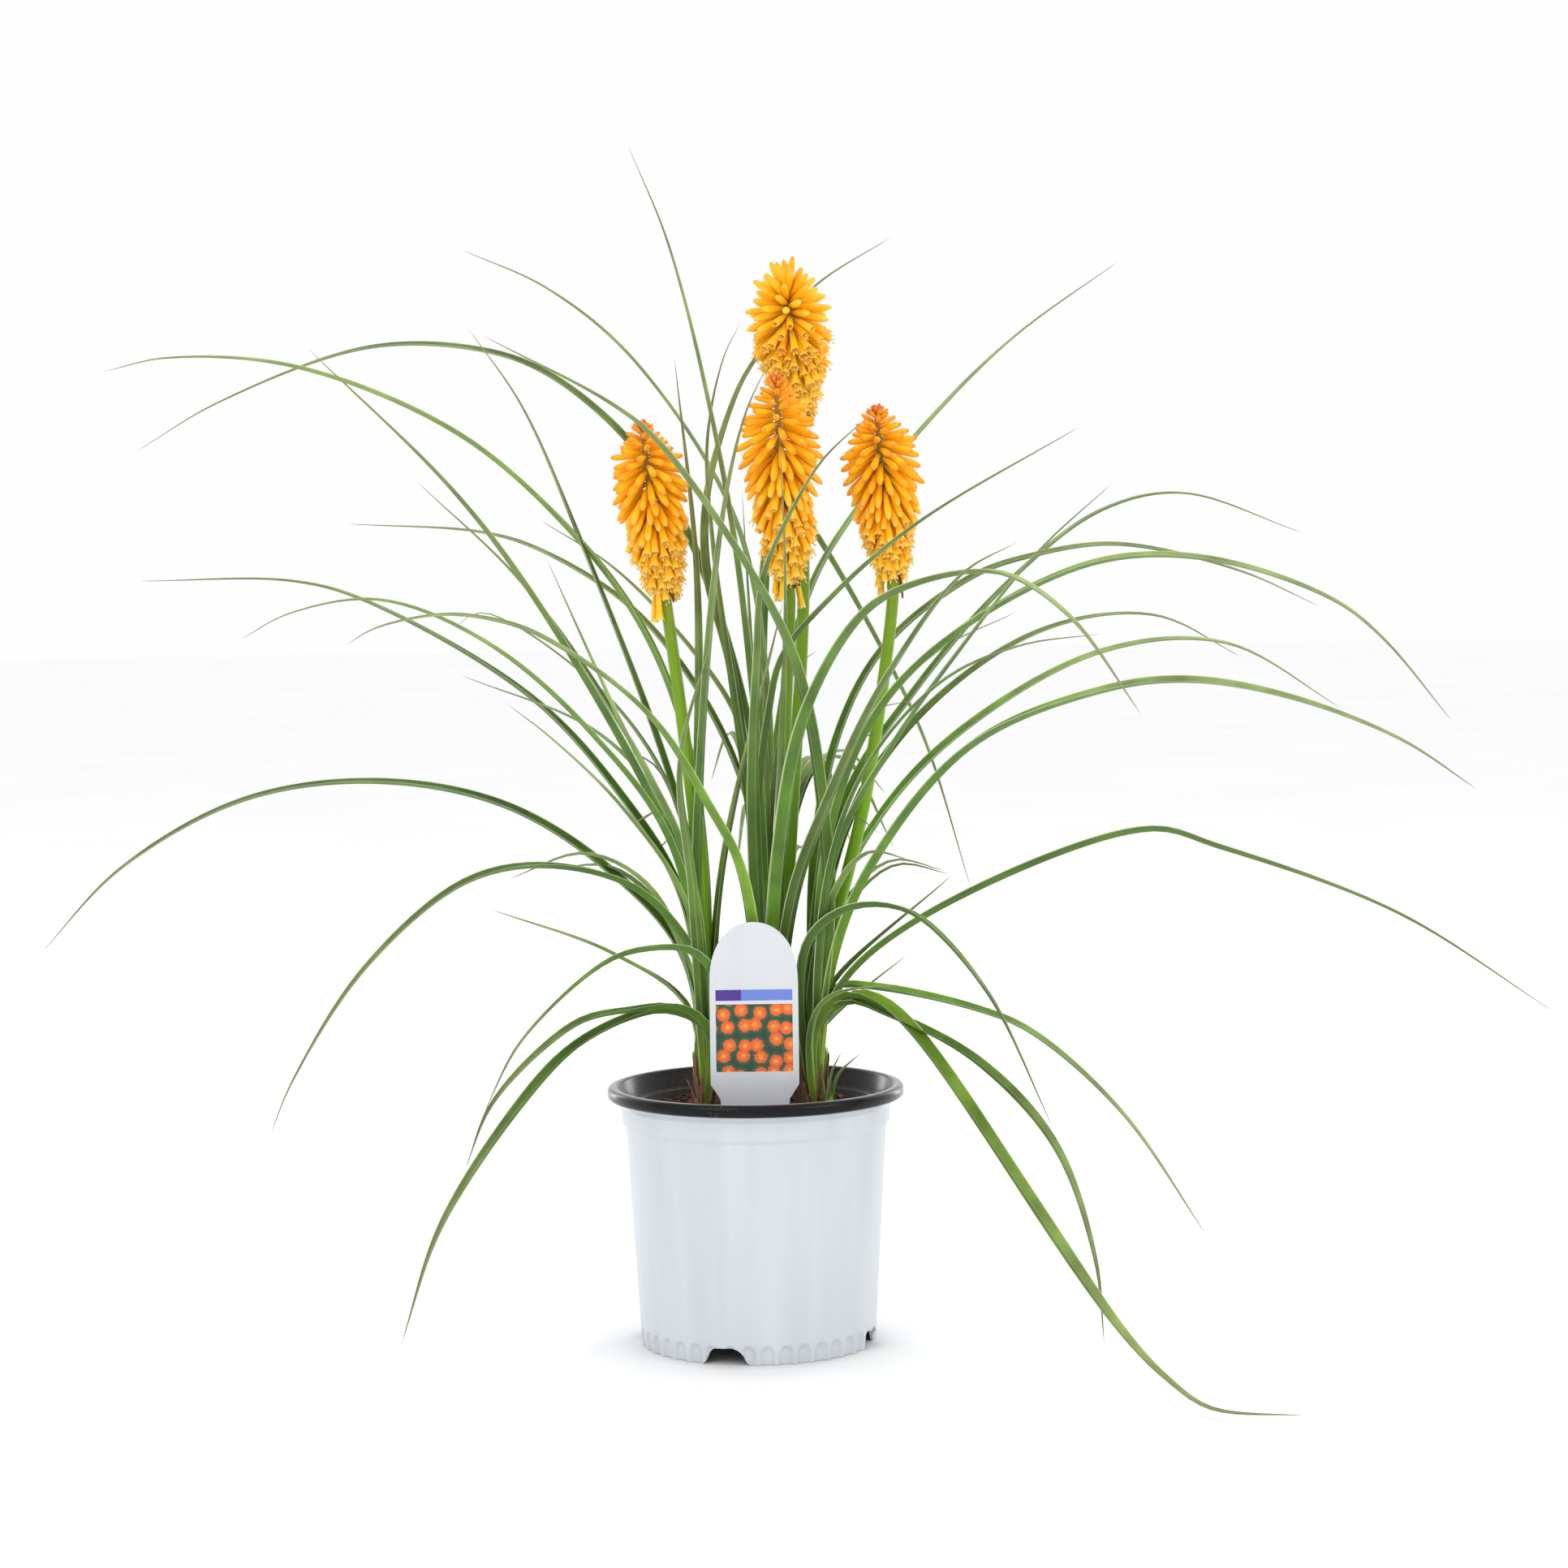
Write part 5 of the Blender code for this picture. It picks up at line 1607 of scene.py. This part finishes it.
@dataclass
class FlowerHead(Assembly):
    """A poker: drooping tubes, some open, round a spindle, with upright buds at its tip."""

    name: str
    florets: int = 200
    stragglers: int = 7
    girth: float = 2.05      # mm, radius of a tube

    def build(self) -> None:
        """Grow the spindle, the tubes and their stamens."""
        head = HEADS[self.name]
        rng = random.Random(head.seed)
        self.base = Vector(head.base) * MM
        tip = Vector(head.tip) * MM
        self.length = (tip - self.base).length
        self.axis = (tip - self.base).normalized()
        self.side = (Vector((1, 0, 0)) - self.axis * self.axis.x).normalized()
        self.depth = self.axis.cross(self.side)
        self.radius = head.radius * MM
        self.bloom = head.bloom
        self.state = OPENINGS[head.bloom]
        mesh = PieceMesh()
        reach = self.length * self.state.spindle
        line = [self.base + self.axis * (reach * k / 16 + 0.3 * MM) for k in range(17)]
        mesh.tube(line, [(3.2 - 2.0 * (k / 16) ** 1.5) * MM for k in range(17)], 12, 0.8, 1)
        for number in range(self.florets):
            share = (number + 0.5) / self.florets
            self.floret(mesh, share, GOLDEN_ANGLE * number, rng)
        for number in range(self.stragglers):
            self.straggler(mesh, number, rng)
        wears = self.palette
        mesh.settle(f"{self.name}_florets",
                    [wears.petal, wears.rachis, wears.stamen, wears.withered],
                    self.name, 55)

    def outwards(self, angle: float) -> Vector:
        """Unit direction out of the head at an angle round it."""
        return self.side * math.cos(angle) + self.depth * math.sin(angle)

    def habit(self, share: float) -> tuple[float, ...]:
        """How a tube stands at its height on the head.

        Args:
            share: how far up the head it comes in the count, from 0 to 1.

        Returns:
            Its rise in degrees, then its length and its neck as shares of the head's
            radius, its girth as a share, and where it starts as a share of the length.
        """
        rows = HABITS[self.bloom]
        for low, high in zip(rows, rows[1:]):
            if share <= high[0]:
                part = (share - low[0]) / (high[0] - low[0])
                return tuple(a + (b - a) * part for a, b in zip(low[1:], high[1:]))
        return rows[-1][1:]

    def floret(self, mesh: PieceMesh, share: float, angle: float, rng: random.Random) -> None:
        """Grow one tube, shut as a bud or open with six lobes, and stamens if it is open.

        Args:
            mesh: the head's mesh.
            share: how far up the head it starts.
            angle: its direction round the head.
            rng: gives its small differences.
        """
        lift, length, neck, thick, origin = self.habit(share)
        lift = math.radians(lift + rng.uniform(-6, 6))
        length *= self.radius * rng.uniform(0.86, 1.06)
        out = self.outwards(angle + rng.uniform(-0.12, 0.12))
        along = out * math.cos(lift) + self.axis * math.sin(lift)
        start = self.base + self.axis * (self.length * origin) + out * 0.8 * MM
        bend = start + out * max(0.3 * MM, neck * self.radius - 0.8 * MM)
        mouth = bend + along * length
        limit = self.state.opened + rng.uniform(-0.05, 0.05)
        ajar = min(1.0, max(0.0, (limit - share) / 0.12))
        tint = min(1.0, rng.uniform(0.0, 0.75) + self.state.paler)
        self.shape(mesh, (start, bend, mouth), thick * self.girth, ajar, tint,
                   share * self.state.aged, 0)
        if ajar > 0.6:
            for _ in range(2):
                self.stamen(mesh, mouth, along, rng)

    def shape(self, mesh: PieceMesh, bow: tuple[Vector, Vector, Vector], girth: float,
              ajar: float, tint: float, height: float, slot: int) -> None:
        """Bend a tube of sixty faces along its bow and open or shut its end.

        Args:
            mesh: the head's mesh.
            bow: its start, its bend and its mouth.
            girth: its radius in mm.
            ajar: how far its mouth has opened, from 0 to 1.
            tint: its random tint.
            height: its share of the way up the head.
            slot: number of its material.
        """
        start, bend, mouth = bow
        shares = (0.0, 0.16, 0.5, 0.86, 1.0, 0.72 if ajar > 0.05 else 1.05)
        widths = (0.0, 0.52, 0.84, 1.0, 0.62 + 0.66 * ajar, 0.0)
        near = (bend - start).length
        curve = 0.35 * near / max(near + (mouth - bend).length, 1e-6)
        spots = []
        for share in shares:
            first = start.lerp(bend, min(1.0, share + curve))
            spots.append(first.lerp(bend.lerp(mouth, share), share ** 0.6))
        along = (mouth - bend).normalized()
        side = along.cross(self.axis)
        if side.length < 0.1:
            side = along.cross(self.depth)
        side.normalize()
        up = along.cross(side)

        def place(u: float, v: float) -> Vector:
            """The point for a share round and a share along."""
            k = round(v * 5)
            if k in (0, 5):
                return spots[k].copy()
            lobe = round(u * 12) % 2 == 0
            turn = TURN * u
            width = widths[k] * girth * MM
            shift = 0.0
            if k == 4 and ajar > 0.05:
                width *= 1 + (0.2 if lobe else -0.14) * ajar
                shift = (0.4 if lobe else -0.6) * ajar * MM
            return (spots[k] + (side * math.cos(turn) + up * math.sin(turn)) * width
                    + along * shift)

        def growth(u: float, v: float) -> Colour:
            """The growth colour for the same shares."""
            k = round(v * 5)
            return (tint, height, shares[k] if k < 5 else 1.0,
                    1.0 if k == 5 and ajar > 0.05 else 0.0)

        length = (mouth - start).length
        mesh.shell(12, 5, place,
                   lambda u, v: (u * girth * 0.63 + tint * 7, v * length / CM), growth, slot)

    def stamen(self, mesh: PieceMesh, mouth: Vector, along: Vector, rng: random.Random) -> None:
        """Grow one thread with its anther out of an open mouth.

        Args:
            mesh: the head's mesh.
            mouth: middle of the mouth.
            along: direction of the tube.
            rng: gives its slant and length.
        """
        slant = Vector((rng.uniform(-1, 1), rng.uniform(-1, 1), rng.uniform(-1, 1))) * 0.3
        way = (along + slant).normalized()
        start = mouth - along * 3 * MM + slant * 1.5 * MM
        reach = rng.uniform(4.2, 6.0) * MM
        line = [start, start + way * reach * 0.7, start + way * reach * 0.86,
                start + way * reach]
        mesh.tube(line, [0.16 * MM, 0.16 * MM, 0.42 * MM, 0.25 * MM], 4, rng.random(), 2)

    def straggler(self, mesh: PieceMesh, number: int, rng: random.Random) -> None:
        """Hang one old tube close along the stalk under the head.

        Args:
            mesh: the head's mesh.
            number: its number, which gives its side.
            rng: gives its small differences.
        """
        out = self.outwards(number * GOLDEN_ANGLE + 0.8)
        lift = math.radians(rng.uniform(-88, -80))
        along = out * math.cos(lift) + self.axis * math.sin(lift)
        start = self.base + self.axis * (self.length * rng.uniform(0.04, 0.14)) + out * 2 * MM
        bend = start + out * 4.0 * MM
        mouth = bend + along * self.radius * rng.uniform(0.7, 1.15)
        dead = number % 3 == 2
        if dead:
            mouth = start.lerp(mouth, rng.uniform(0.6, 0.85)) - out * 1.5 * MM
        self.shape(mesh, (start, bend, mouth), self.girth * (0.34 if dead else 0.85),
                   0.1 if dead else 0.8, rng.uniform(0.2, 0.7), 0.05, 3 if dead else 0)


def main() -> None:
    """Build every part in order."""
    logging.basicConfig(level=logging.INFO, format="%(message)s", stream=sys.stdout)
    palette = Palette()
    for part in (Studio, NurseryPot, PottingSoil, PlantLabel):
        part(palette).build()
    for name in CROWNS:
        CrownFan(palette, name).build()
    YoungShoot(palette).build()
    for name in HEADS:
        FlowerHead(palette, name).build()


if __name__ == "__main__":
    main()
